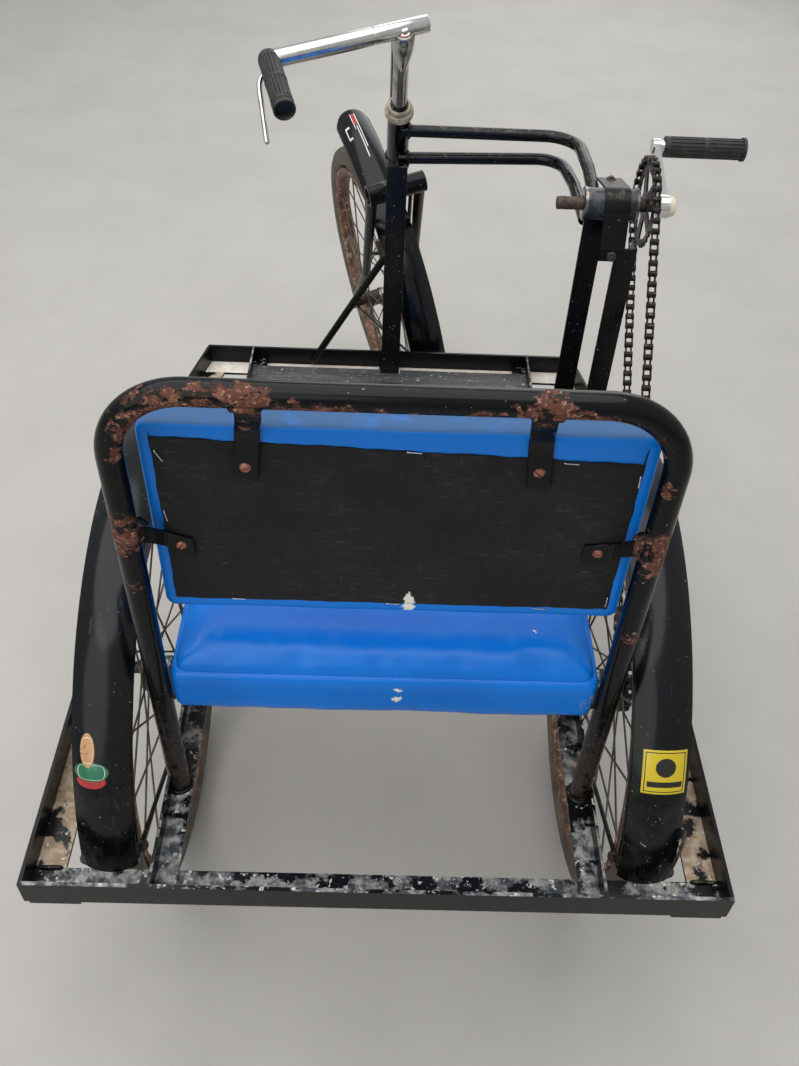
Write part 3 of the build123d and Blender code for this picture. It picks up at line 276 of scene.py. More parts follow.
def strip(path, across, wide, thick):
    """Flat strap along a path: its width lies along one fixed direction and its thickness square to that
    and to the run, with narrow chamfers and both ends closed."""
    path = np.asarray(path, float)
    across = np.asarray(across, float)
    flat = unit(np.cross(unit(np.gradient(path, axis=0)), across))
    w, t, e = wide / 2, thick / 2, 0.5
    section = np.array([(-w, e - t), (e - w, -t), (w - e, -t), (w, e - t), (w, t - e), (w - e, t),
                        (e - w, t), (-w, t - e)])
    points = path[:, None] + section[:, :1] * across + section[:, 1:] * flat[:, None]
    points = np.concatenate([np.repeat(path[:1, None], 8, 1), points, np.repeat(path[-1:, None], 8, 1)])
    return points.reshape(-1, 3), [quads(len(path) + 2, 8, False, True)]


def rounded_ring(half_a, half_b, corner, samples):
    """Evenly spaced points of a rounded rectangle, their outward directions and their distances round it."""
    t = np.linspace(0, pi / 2, 9)
    signs = np.array([(-1, -1), (1, -1), (1, 1), (-1, 1)])
    reach = np.array([half_a, half_b]) - corner
    ring = [sign * reach + corner * np.stack([np.cos(a + t), np.sin(a + t)], -1)
            for sign, a in zip(signs, (pi, -pi / 2, 0.0, pi / 2))]
    ring = np.concatenate(ring + [ring[0][:1]])
    length = np.r_[0, np.cumsum(np.linalg.norm(np.diff(ring, axis=0), axis=1))]
    s = np.linspace(0, length[-1], samples + 1)[:-1]
    ring = np.stack([np.interp(s, length, ring[:, k]) for k in (0, 1)], -1)
    run = np.roll(ring, -1, 0) - np.roll(ring, 1, 0)
    return ring, unit(np.stack([run[:, 1], -run[:, 0]], -1)), s


def copies(points, faces, origins, axes):
    """One shape repeated: copy i is the shape's points on axes i, moved to origin i, all as one mesh."""
    origins = np.asarray(origins, float)
    axes = np.broadcast_to(axes, (len(origins), 3, 3))
    out = np.einsum("pj,kji->kpi", points, axes) + origins[:, None]
    shift = (np.arange(len(origins)) * len(points))[:, None, None]
    moved = [(np.asarray(block)[None] + shift).reshape(-1, np.shape(block)[1]) for block in faces]
    return out.reshape(-1, 3), moved


def together(*shapes):
    """Several shapes as one list of points and faces."""
    points, faces, count = [], [], 0
    for p, blocks in shapes:
        points.append(p)
        faces += [np.asarray(block) + count for block in blocks]
        count += len(p)
    return np.concatenate(points), faces


def slab(outline, thick):
    """Flat plate: outline rows of (y, z) at x = plus and minus half its thickness, closed all round."""
    outline = np.asarray(outline, float)
    n = len(outline)
    points = np.concatenate([np.c_[np.full(n, x), outline] for x in (-thick / 2, thick / 2)])
    ring = np.arange(n)
    edge = np.stack([ring, (ring + 1) % n, (ring + 1) % n + n, ring + n], -1)
    return points, [edge, ring[::-1][None], (ring + n)[None]]


def piece(name, shape, finish, body, stands_for=(), mend=True, sharp=35.0, uv=None):
    """Makes one object at the origin from a shape in millimetres, closes its seams and turns its faces
    outwards unless mend is off, gives it a finish and a slot, and lets it ride on a body of the frame."""
    points, faces = shape
    mesh = bpy.data.meshes.new(name)
    mesh.from_pydata(place(points).tolist(), [],
                     [face for block in faces for face in np.asarray(block).tolist()])
    if uv is not None:
        corners = np.zeros(len(mesh.loops), np.int32)
        mesh.loops.foreach_get("vertex_index", corners)
        mesh.uv_layers.new(name="Cover").data.foreach_set("uv", np.asarray(uv, np.float32)[corners].ravel())
    if mend:
        work = bmesh.new()
        work.from_mesh(mesh)
        bmesh.ops.remove_doubles(work, verts=work.verts, dist=2e-6)
        bmesh.ops.recalc_face_normals(work, faces=work.faces)
        work.to_mesh(mesh)
        work.free()
    mesh.validate()
    mesh.shade_smooth()
    mesh.set_sharp_from_angle(angle=radians(sharp))
    mesh.materials.append(FINISHES[finish])
    obj = bpy.data.objects.new(name, mesh)
    bpy.context.scene.collection.objects.link(obj)
    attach(obj, body)
    if stands_for:
        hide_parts(*stands_for)
    return obj


def bevelled(obj, width, segments=2):
    """Rounds the edges of a piece by width millimetres and keeps its faces flat."""
    edge = obj.modifiers.new("Round edges", "BEVEL")
    edge.width = width * 0.001
    edge.segments = segments
    edge.limit_method = "ANGLE"
    edge.angle_limit = radians(40)
    applied(obj)
    obj.data.shade_smooth()
    obj.data.set_sharp_from_angle(angle=radians(32))


def applied(obj):
    """Replaces an object's mesh by what its modifiers make of it, and removes them."""
    bpy.context.view_layer.update()
    made = obj.evaluated_get(bpy.context.evaluated_depsgraph_get())
    mesh = bpy.data.meshes.new_from_object(made)
    obj.modifiers.clear()
    obj.data = mesh


def vertices(obj):
    """An object's points as rows."""
    co = np.zeros(len(obj.data.vertices) * 3, np.float32)
    obj.data.vertices.foreach_get("co", co)
    return co.reshape(-1, 3).astype(float)


def set_vertices(obj, co):
    """Puts rows of points back into an object."""
    obj.data.vertices.foreach_set("co", np.asarray(co, np.float32).ravel())
    obj.data.update()


def swell(obj, voxel, pressure, cap, low, high):
    """Fills a closed cover as padding does: even remesh, 20 frames of cloth under pressure without gravity,
    no point moved more than cap millimetres, into the foam or past the low and high corners, then one
    subdivision."""
    remesh = obj.modifiers.new("Even", "REMESH")
    remesh.mode = "VOXEL"
    remesh.voxel_size = voxel * 0.001
    applied(obj)
    start = vertices(obj)
    cloth = obj.modifiers.new("Cover", "CLOTH")
    cloth.settings.use_pressure = True
    cloth.settings.uniform_pressure_force = pressure
    cloth.settings.effector_weights.gravity = 0.0
    cloth.point_cache.frame_start = 1
    cloth.point_cache.frame_end = 20
    for step in range(1, 21):
        bpy.context.scene.frame_set(step)
    made = obj.evaluated_get(bpy.context.evaluated_depsgraph_get())
    moved = np.zeros(len(made.data.vertices) * 3, np.float32)
    made.data.vertices.foreach_get("co", moved)
    shift = moved.reshape(-1, 3) - start
    # The foam stops the cover from moving towards the middle
    middle = (start.min(0) + start.max(0)) / 2
    shift = np.where(shift * (start - middle) < 0, 0.0, shift)
    size = np.maximum(np.linalg.norm(shift, axis=1, keepdims=True), 1e-9)
    obj.modifiers.clear()
    start = start + shift * np.minimum(1.0, cap * 0.001 / size)
    bpy.context.scene.frame_set(1)
    set_vertices(obj, np.clip(start, place(low), place(high)))
    smooth = obj.modifiers.new("Soften", "SMOOTH")
    smooth.iterations = 4
    smooth.factor = 0.5
    round_off = obj.modifiers.new("Fine", "SUBSURF")
    round_off.levels = 1
    round_off.render_levels = 1
    applied(obj)
    obj.data.shade_smooth()


# Finishes
FINISHES = {}


def linear(colour):
    """sRGB hex to the linear colour that a shader takes."""
    value = np.array([int(colour[k:k + 2], 16) for k in (0, 2, 4)]) / 255
    value = np.where(value <= 0.04045, value / 12.92, ((value + 0.055) / 1.055) ** 2.4)
    return (*value.tolist(), 1.0)


def add(tree, kind, inputs=None, **settings):
    """Adds one node with its settings, its plain values and its links."""
    node = tree.nodes.new("ShaderNode" + kind)
    for key, value in settings.items():
        setattr(node, key, value)
    for key, value in (inputs or {}).items():
        if isinstance(value, bpy.types.NodeSocket):
            tree.links.new(value, node.inputs[key])
        else:
            node.inputs[key].default_value = value
    return node


def started(name, metallic=0.0, ior=1.5, coat=0.0, sheen=0.0):
    """A material with one Principled shader, plain values on its own sockets, and its object coordinates."""
    material = bpy.data.materials.new(name)
    material.use_nodes = True
    tree = material.node_tree
    tree.nodes.clear()
    shader = add(tree, "BsdfPrincipled", {"Metallic": metallic, "Coat Weight": coat, "Sheen Weight": sheen})
    if not metallic:
        shader.inputs["IOR"].default_value = ior
    add(tree, "OutputMaterial", {"Surface": shader.outputs[0]})
    FINISHES[name] = material
    return tree, shader, add(tree, "TexCoord")


def blotches(tree, where, size, low, high, detail=5.0, offset=0.0):
    """Mask of uneven blotches about size millimetres across: 0 below low, 1 above high."""
    moved = add(tree, "Mapping", {"Vector": where, "Location": (offset, offset * 0.7, -offset)})
    cloud = add(tree, "TexNoise", {"Vector": moved.outputs[0], "Scale": 1000 / size, "Detail": detail,
                                   "Roughness": 0.6})
    cut = {"Value": cloud.outputs[0], "From Min": low, "From Max": high}
    return add(tree, "MapRange", cut, interpolation_type="SMOOTHSTEP").outputs[0]


def level_faces(tree, coordinates, low=0.55, high=0.9):
    """Mask that is 1 on faces that look up, where dust settles."""
    split = add(tree, "SeparateXYZ", {0: coordinates.outputs["Normal"]})
    cut = {"Value": split.outputs[2], "From Min": low, "From Max": high}
    return add(tree, "MapRange", cut, interpolation_type="SMOOTHSTEP").outputs[0]


def height_band(tree, coordinates, low, high):
    """Mask that rises from 0 to 1 between two heights in millimetres."""
    split = add(tree, "SeparateXYZ", {0: coordinates.outputs["Object"]})
    cut = {"Value": split.outputs[2], "From Min": low * 0.001, "From Max": high * 0.001}
    return add(tree, "MapRange", cut, interpolation_type="SMOOTHSTEP").outputs[0]


def round_places(tree, where, spots, ragged=0.012, grain=14.0):
    """Mask of ragged patches: spots are rows of (x, y, z, radius) in millimetres, and a cloud pattern
    pushes their edges about by ragged metres."""
    cloud = add(tree, "TexNoise", {"Vector": where, "Scale": 1000 / grain, "Detail": 5.0, "Roughness": 0.65})
    push = add(tree, "VectorMath", {0: cloud.outputs["Color"], 1: (0.5, 0.5, 0.5)}, operation="SUBTRACT")
    push = add(tree, "VectorMath", {0: push.outputs[0], "Scale": ragged * 4}, operation="SCALE")
    moved = add(tree, "VectorMath", {0: where, 1: push.outputs[0]}, operation="ADD")
    mask = None
    for x, y, z, radius in spots:
        middle = tuple(place((x, y, z)).tolist())
        far = add(tree, "VectorMath", {0: moved.outputs[0], 1: middle}, operation="DISTANCE")
        cut = {"Value": far.outputs["Value"], "From Min": radius * 0.001, "From Max": radius * 0.0007}
        here = add(tree, "MapRange", cut, interpolation_type="SMOOTHSTEP").outputs[0]
        mask = here if mask is None else add(tree, "Math", {0: mask, 1: here}, operation="MAXIMUM").outputs[0]
    return mask


def product(tree, *masks):
    """Where all the masks hold at once."""
    out = masks[0]
    for mask in masks[1:]:
        out = add(tree, "Math", {0: out, 1: mask}, operation="MULTIPLY").outputs[0]
    return out


def coats(tree, under, *layers):
    """Colours laid over one another: a layer (mask, hex) covers what is under it where its mask is 1."""
    colour = linear(under)
    for mask, over in layers:
        mix = add(tree, "Mix", {0: mask, 6: colour, 7: linear(over)}, data_type="RGBA")
        colour = mix.outputs[2]
    return colour


def levels(tree, under, *layers):
    """Roughness or height laid over one another in the same way: each layer is (mask, value)."""
    value = under
    for mask, over in layers:
        value = add(tree, "Mix", {0: mask, 2: value, 3: over}, data_type="FLOAT").outputs[0]
    return value


def dress(tree, shader, colour, rough, height=None, depth=0.3, strength=0.6):
    """Joins colour, roughness and bump to the shader; depth is the height of the bump in millimetres."""
    tree.links.new(colour, shader.inputs["Base Color"])
    if isinstance(rough, bpy.types.NodeSocket):
        tree.links.new(rough, shader.inputs["Roughness"])
    else:
        shader.inputs["Roughness"].default_value = rough
    if height is not None:
        bump = add(tree, "Bump", {"Height": height, "Distance": depth * 0.001, "Strength": strength})
        tree.links.new(bump.outputs[0], shader.inputs["Normal"])


def enamel_finishes(colours):
    """Brushed alkyd enamel on mild steel, near-black and half gloss. On level faces it is crusted: tan dust
    fills whole stretches of the outer members, the inner ones and the rear bar are scuffed white, and what
    black is left is speckled. Uprights only have haze, chips and a brown film."""
    for name, dust, pale, share, crumbs, flange_only in (
        # name, crust, its pale parts, where crust and crumbs start, whether only low flanges hold them
        ("Dusty black enamel", "9C8670", "C3B29A", 0.46, 0.60, True),
        ("Scuffed black enamel", "3F464C", "A5A39E", 0.50, 0.58, False),
        # The front bar: a near-white coat, with paler parts, over most of its low level flange
        ("Black enamel with near-white flange", "DCCFC2", "F0E8DE", 0.30, 0.50, True),
    ):
        tree, shader, at = started(name, ior=1.3)
        where = at.outputs["Object"]
        level = level_faces(tree, at)
        if flange_only:
            level = product(tree, level, levels(tree, 1.0, (height_band(tree, at, 355.0, 362.0), 0.0)))
        region = blotches(tree, where, 34.0, share - 0.03, share + 0.03, 9.0)
        tone = blotches(tree, where, 12.0, 0.38, 0.66, 6.0, 0.2)
        crumb = blotches(tree, where, 6.0, crumbs, crumbs + 0.06, 7.0, 0.9)
        area = blotches(tree, where, 26.0, 0.42, 0.54, 4.0, 0.6)
        laid = product(tree, level, region)
        crust = product(tree, level, area, crumb)
        haze = blotches(tree, where, 60.0, 0.45, 0.8, 6.0)
        rust = blotches(tree, where, 11.0, 0.68, 0.73, 7.0, 1.9)
        upright = blotches(tree, where, 16.0, 0.66, 0.88, 8.0, 2.2)
        colour = coats(tree, colours.black, (haze, "0E1013"), (upright, "241E19"), (rust, "46332A"),
                       (laid, dust), (product(tree, laid, tone), pale), (crust, "DEDAD1"))
        rough = levels(tree, 0.26, (haze, 0.34), (upright, 0.6), (rust, 0.8), (laid, 0.85), (crust, 0.85))
        dress(tree, shader, colour, rough, levels(tree, 0.5, (laid, 0.7), (crust, 0.9), (rust, 0.2)), 0.25,
              0.5)
    tree, shader, at = started("Black enamel", ior=1.3)
    where = at.outputs["Object"]
    level = level_faces(tree, at)
    dust = product(tree, level, blotches(tree, where, 12.0, 0.54, 0.72, 7.0))
    haze = blotches(tree, where, 50.0, 0.50, 0.8, 6.0)
    chips = blotches(tree, where, 5.0, 0.67, 0.70, 5.0, 1.1)
    rust = blotches(tree, where, 9.0, 0.66, 0.70, 7.0, 1.9)
    colour = coats(tree, colours.black, (haze, "191816"), (dust, "6E655A"), (rust, "43322A"),
                   (chips, "8C867C"))
    rough = levels(tree, 0.28, (haze, 0.38), (dust, 0.8), (rust, 0.8), (chips, 0.7))
    dress(tree, shader, colour, rough, levels(tree, 0.5, (dust, 0.8), (rust, 0.2)), 0.2, 0.45)
    # The same enamel brushed thick on pipe: deep gloss, a few chips and thin dust on top
    tree, shader, at = started("Pipe enamel", ior=1.32, coat=0.05)
    where = at.outputs["Object"]
    dust = product(tree, level_faces(tree, at, 0.4, 1.0), blotches(tree, where, 8.0, 0.50, 0.72, 7.0))
    chips = blotches(tree, where, 5.0, 0.69, 0.72, 4.0, 1.1)
    sweep = blotches(tree, where, 36.0, 0.3, 0.7, 2.0, 0.4)
    colour = coats(tree, colours.gloss, (dust, "5B544C"), (chips, "9A8B78"))
    dress(tree, shader, colour, levels(tree, 0.15, (dust, 0.5), (chips, 0.7)), sweep, 0.6, 0.4)


def hoop_finish(colours):
    """Brushed gloss enamel on steel tube that has flaked to primer and rust at the bends, round the welds
    and along the lower side of the top rail."""
    tree, shader, at = started("Flaked gloss enamel", ior=1.28, coat=0.03)
    where = at.outputs["Object"]
    y = HOOP_Y - HOOP_R
    spots = [(-112, y, HOOP_TOP, 19), (-94, y, HOOP_TOP - 8, 14), (114, y, HOOP_TOP - 2, 20),
             (-222, y, 756, 19), (-212, y, 744, 13), (222, y, 752, 24), (222, y, 728, 12),
             (-207, y, 858, 12), (-199, y, 869, 16), (-184, y, 881, 20), (-166, y, 887, 18),
             (-148, y, 891, 17), (-130, y, 893, 16), (-76, y, 884, 13), (-54, y, 883, 13), (-34, y, 883, 11),
             (-10, y, 883, 9), (16, y, 883, 9), (60, y, 884, 10), (84, y, 885, 15), (136, y, 884, 12),
             (152, y, 882, 12), (168, y, 878, 11), (182, y, 870, 12), (193, y, 860, 11), (201, y, 848, 11),
             (205, y, 836, 9), (-214, y, 838, 9), (86, y, HOOP_TOP, 8), (-228, y, 730, 9), (216, y, 818, 7),
             (-222, y, 690, 7), (223, y, 640, 8), (-114, -207, 872, 12), (-116, -199, 852, 7),
             (114, -207, 874, 9)]
    near = round_places(tree, where, spots, 0.008, 14.0)
    drawn = add(tree, "Mapping", {"Vector": where, "Scale": (0.45, 1.0, 0.8)}).outputs[0]
    ragged = blotches(tree, drawn, 6.0, 0.45, 0.49, 8.0)
    flaked = product(tree, near, ragged)
    edge = product(tree, near, blotches(tree, drawn, 6.0, 0.40, 0.45, 8.0))
    foot = levels(tree, 1.0, (height_band(tree, at, 385.0, 560.0), 0.0))
    grime = product(tree, foot, blotches(tree, where, 9.0, 0.36, 0.64, 8.0, 1.1))
    primer = blotches(tree, where, 5.0, 0.52, 0.60, 5.0, 0.5)
    fleck = blotches(tree, where, 3.2, 0.58, 0.64, 4.0, 1.5)
    chips = blotches(tree, where, 4.0, 0.71, 0.74, 3.0, 2.3)
    dust = product(tree, level_faces(tree, at, 0.5, 1.0), blotches(tree, where, 14.0, 0.50, 0.8, 7.0, 0.9))
    colour = coats(tree, colours.gloss, (dust, "1B1E22"), (grime, "3D362E"), (edge, "241915"),
                   (flaked, colours.rust), (product(tree, flaked, primer), "80594B"),
                   (product(tree, flaked, fleck), "A5816F"), (chips, "8F7F6D"))
    rough = levels(tree, 0.16, (dust, 0.3), (grime, 0.75), (flaked, 0.85), (chips, 0.7))
    height = levels(tree, 1.0, (flaked, 0.0), (product(tree, flaked, primer), 0.35))
    dress(tree, shader, colour, rough, height, 0.5, 0.9)


def guard_finish(colours):
    """Gloss stoving enamel on pressed sheet: deep black with long soft reflections, dust specks and
    droppings of mud that thicken towards the lower rear end, and fine scratches."""
    tree, shader, at = started("Stoved gloss enamel", ior=1.33, coat=0.06)
    shader.inputs["Coat Roughness"].default_value = 0.06
    where = at.outputs["Object"]
    split = add(tree, "SeparateXYZ", {0: where})
    rear = {"Value": split.outputs[1], "From Min": -0.10, "From Max": -0.14}
    rear = add(tree, "MapRange", rear, interpolation_type="SMOOTHSTEP").outputs[0]
    low = product(tree, rear, levels(tree, 1.0, (height_band(tree, at, 395.0, 520.0), 0.0)))
    mud = product(tree, low, blotches(tree, where, 5.0, 0.67, 0.71, 5.0))
    film = product(tree, low, blotches(tree, where, 26.0, 0.42, 0.80, 8.0, 0.4))
    specks = blotches(tree, where, 3.0, 0.735, 0.75, 2.0, 1.7)
    haze = blotches(tree, where, 90.0, 0.4, 0.8, 6.0, 0.2)
    stretch = add(tree, "Mapping", {"Vector": where, "Scale": (1.0, 0.25, 0.25)}).outputs[0]
    rubbed = blotches(tree, stretch, 9.0, 0.63, 0.70, 6.0, 0.5)
    colour = coats(tree, colours.gloss, (haze, "0A0D10"), (film, "24221F"), (rubbed, "22272C"),
                   (mud, "96938B"), (specks, "8A8D90"))
    rough = levels(tree, 0.18, (haze, 0.24), (film, 0.5), (rubbed, 0.4), (mud, 0.85), (specks, 0.7))
    dress(tree, shader, colour, rough, levels(tree, 0.0, (mud, 1.0), (specks, 0.6)), 0.25, 0.6)


def metal_finishes():
    """Plated, bare and rusty steels."""
    # Chromium plate on tube: bright, with fine grey pitting and brown freckles
    tree, shader, at = started("Chromium plate", metallic=1.0)
    where = at.outputs["Object"]
    dull = blotches(tree, where, 22.0, 0.45, 0.8, 8.0)
    freckle = blotches(tree, where, 2.6, 0.70, 0.74, 3.0, 0.6)
    colour = coats(tree, "D3D3CF", (dull, "A7A49C"), (freckle, "6E5742"))
    dress(tree, shader, colour, levels(tree, 0.15, (dull, 0.28), (freckle, 0.7)), freckle, 0.05, 0.3)
    # Chromium plate of the stem, its colour painted darker than bright chrome as a painted reflection of dark
    # surroundings, with darker patches and brown freckles; it shows a bright rim of reflections
    tree, shader, at = started("Chromium plate painted dark for reflection", metallic=1.0)
    where = at.outputs["Object"]
    darker_patch = blotches(tree, where, 16.0, 0.40, 0.7, 6.0)
    brown = blotches(tree, where, 3.0, 0.66, 0.72, 4.0, 0.6)
    # Painted reflection: the grey base and the darker patches stand in for the dark surroundings that the
    # stem's chrome reflects
    colour = coats(tree, "A8A9A8", (darker_patch, "787776"), (brown, "5C4636"))
    dress(tree, shader, colour, levels(tree, 0.10, (darker_patch, 0.22), (brown, 0.7)), brown, 0.05, 0.3)
    # Old plate worn dark: the lower brake parts
    tree, shader, at = started("Worn plate", metallic=1.0)
    where = at.outputs["Object"]
    dull = blotches(tree, where, 14.0, 0.40, 0.7, 8.0)
    brown = blotches(tree, where, 8.0, 0.60, 0.70, 7.0, 0.6)
    colour = coats(tree, "8E8E8C", (dull, "5E5C59"), (brown, "5A4432"))
    dress(tree, shader, colour, levels(tree, 0.2, (dull, 0.35), (brown, 0.75)), brown, 0.1, 0.4)
    # Zinc worn off, light even rust: spindle, nuts and bolts
    tree, shader, at = started("Rusty steel", metallic=0.35)
    where = at.outputs["Object"]
    dark = blotches(tree, where, 9.0, 0.42, 0.62, 8.0)
    orange = blotches(tree, where, 5.0, 0.55, 0.68, 7.0, 0.8)
    colour = coats(tree, "57483E", (dark, "352D29"), (orange, "6E4632"))
    dress(tree, shader, colour, levels(tree, 0.6, (dark, 0.75), (orange, 0.85)), dark, 0.2, 0.6)
    # Screw heads, coppery with fresh rust
    tree, shader, at = started("Coppery rusted steel", metallic=0.4)
    where = at.outputs["Object"]
    dark = blotches(tree, where, 4.0, 0.48, 0.62, 6.0)
    colour = coats(tree, "A2695A", (dark, "5C3C33"))
    dress(tree, shader, colour, levels(tree, 0.45, (dark, 0.75)), dark, 0.15, 0.5)
    # Crank bracket: enamel rubbed through to blue-grey steel, with a ragged crust on top
    tree, shader, at = started("Rubbed enamel")
    where = at.outputs["Object"]
    rub = blotches(tree, where, 13.0, 0.42, 0.66, 7.0)
    bare = blotches(tree, where, 5.0, 0.62, 0.68, 6.0, 0.7)
    crust = product(tree, level_faces(tree, at), blotches(tree, where, 6.0, 0.50, 0.60, 7.0, 1.4))
    colour = coats(tree, "1B1F24", (rub, "343D45"), (bare, "67707A"), (crust, "6A625A"))
    dress(tree, shader, colour, levels(tree, 0.28, (rub, 0.38), (crust, 0.8)),
          levels(tree, 0.5, (crust, 0.9), (bare, 0.3)), 0.3, 0.6)
    # Oiled roller chain and sprockets: nearly black, wet sheen, dusty grease in brown clots
    tree, shader, at = started("Oiled steel", metallic=0.6)
    where = at.outputs["Object"]
    clot = blotches(tree, where, 6.0, 0.55, 0.68, 6.0)
    worn = blotches(tree, where, 4.0, 0.60, 0.66, 4.0, 0.9)
    colour = coats(tree, "211E1C", (clot, "3A2C22"), (worn, "6B6660"))
    dress(tree, shader, colour, levels(tree, 0.34, (clot, 0.7), (worn, 0.3)), clot, 0.2, 0.5)
    # Cold-rolled sheet, once painted grey: scuffed bright along its edges and smeared with dust
    tree, shader, at = started("Scuffed sheet steel", metallic=0.25)
    where = at.outputs["Object"]
    stretch = add(tree, "Mapping", {"Vector": where, "Scale": (0.25, 1.0, 1.0)}).outputs[0]
    smear = blotches(tree, stretch, 18.0, 0.42, 0.68, 8.0)
    scratch = blotches(tree, stretch, 2.4, 0.64, 0.67, 2.0, 0.5)
    pale = blotches(tree, where, 12.0, 0.66, 0.69, 7.0, 1.3)
    colour = coats(tree, "3A3B3E", (smear, "5B5A59"), (scratch, "85827D"), (pale, "C9C0AE"))
    dress(tree, shader, colour, levels(tree, 0.5, (smear, 0.65), (pale, 0.85)), smear, 0.2, 0.4)
    # Galvanised wire of the staples
    tree, shader, at = started("Staple wire", metallic=1.0)
    grey = blotches(tree, at.outputs["Object"], 4.0, 0.4, 0.7, 3.0)
    dress(tree, shader, coats(tree, "DADDE0", (grey, "A9ABAD")), levels(tree, 0.3, (grey, 0.45)), grey, 0.03,
          0.2)


def wheel_finishes(colours):
    """Rolled steel rim, drawn wire spokes and turned hub of one wheel. The rim is brown with rust and has
    rubbed pale lines, the spokes are dull grey-brown wire, and the hub holds black grease."""
    for name, centre, _ in WHEELS:
        tree, shader, at = started(f"Rusted {name} wheel steel", metallic=0.4)
        where = at.outputs["Object"]
        middle = tuple(place(centre).tolist())
        far = add(tree, "VectorMath", {0: where, 1: middle}, operation="DISTANCE").outputs["Value"]
        bands = []
        for low, high in ((0.225, 0.236), (0.2475, 0.2495), (0.042, 0.034)):
            cut = {"Value": far, "From Min": low, "From Max": high}
            bands.append(add(tree, "MapRange", cut, interpolation_type="SMOOTHSTEP").outputs[0])
        rim, edge, hub = bands
        brown = blotches(tree, where, 22.0, 0.38, 0.62, 8.0)
        pale = blotches(tree, where, 12.0, 0.52, 0.62, 7.0, 0.6)
        dark = blotches(tree, where, 7.0, 0.62, 0.67, 5.0, 1.4)
        colour = coats(tree, "5F574E", (brown, "4A3D34"), (rim, "7E5C4A"),
                       (product(tree, rim, brown), "5E4234"), (product(tree, rim, pale), "A98F7B"),
                       (product(tree, edge, pale), "C7B6A1"), (product(tree, rim, dark), "33261F"),
                       (hub, "35302B"))
        rough = levels(tree, 0.45, (rim, 0.62), (product(tree, rim, pale), 0.5), (hub, 0.5))
        dress(tree, shader, colour, rough, dark, 0.2, 0.5)
        # Tyre: black butyl, browned by road dust that fills the tread and lies on the walls
        tree, shader, at = started(f"Dusty {name} tyre rubber")
        where = at.outputs["Object"]
        far = add(tree, "VectorMath", {0: where, 1: middle}, operation="DISTANCE").outputs["Value"]
        cut = {"Value": far, "From Min": 0.2862, "From Max": 0.2845}
        groove = add(tree, "MapRange", cut, interpolation_type="SMOOTHSTEP").outputs[0]
        cut = {"Value": far, "From Min": 0.276, "From Max": 0.262}
        wall = add(tree, "MapRange", cut, interpolation_type="SMOOTHSTEP").outputs[0]
        cloud = blotches(tree, where, 28.0, 0.35, 0.7, 8.0)
        fine = blotches(tree, where, 3.0, 0.5, 0.7, 4.0, 0.8)
        colour = coats(tree, colours.rubber, (groove, "4B423A"), (product(tree, wall, cloud), "6F6253"),
                       (product(tree, cloud, fine), "8A7A66"))
        dress(tree, shader, colour, levels(tree, 0.6, (cloud, 0.8)), fine, 0.15, 0.4)


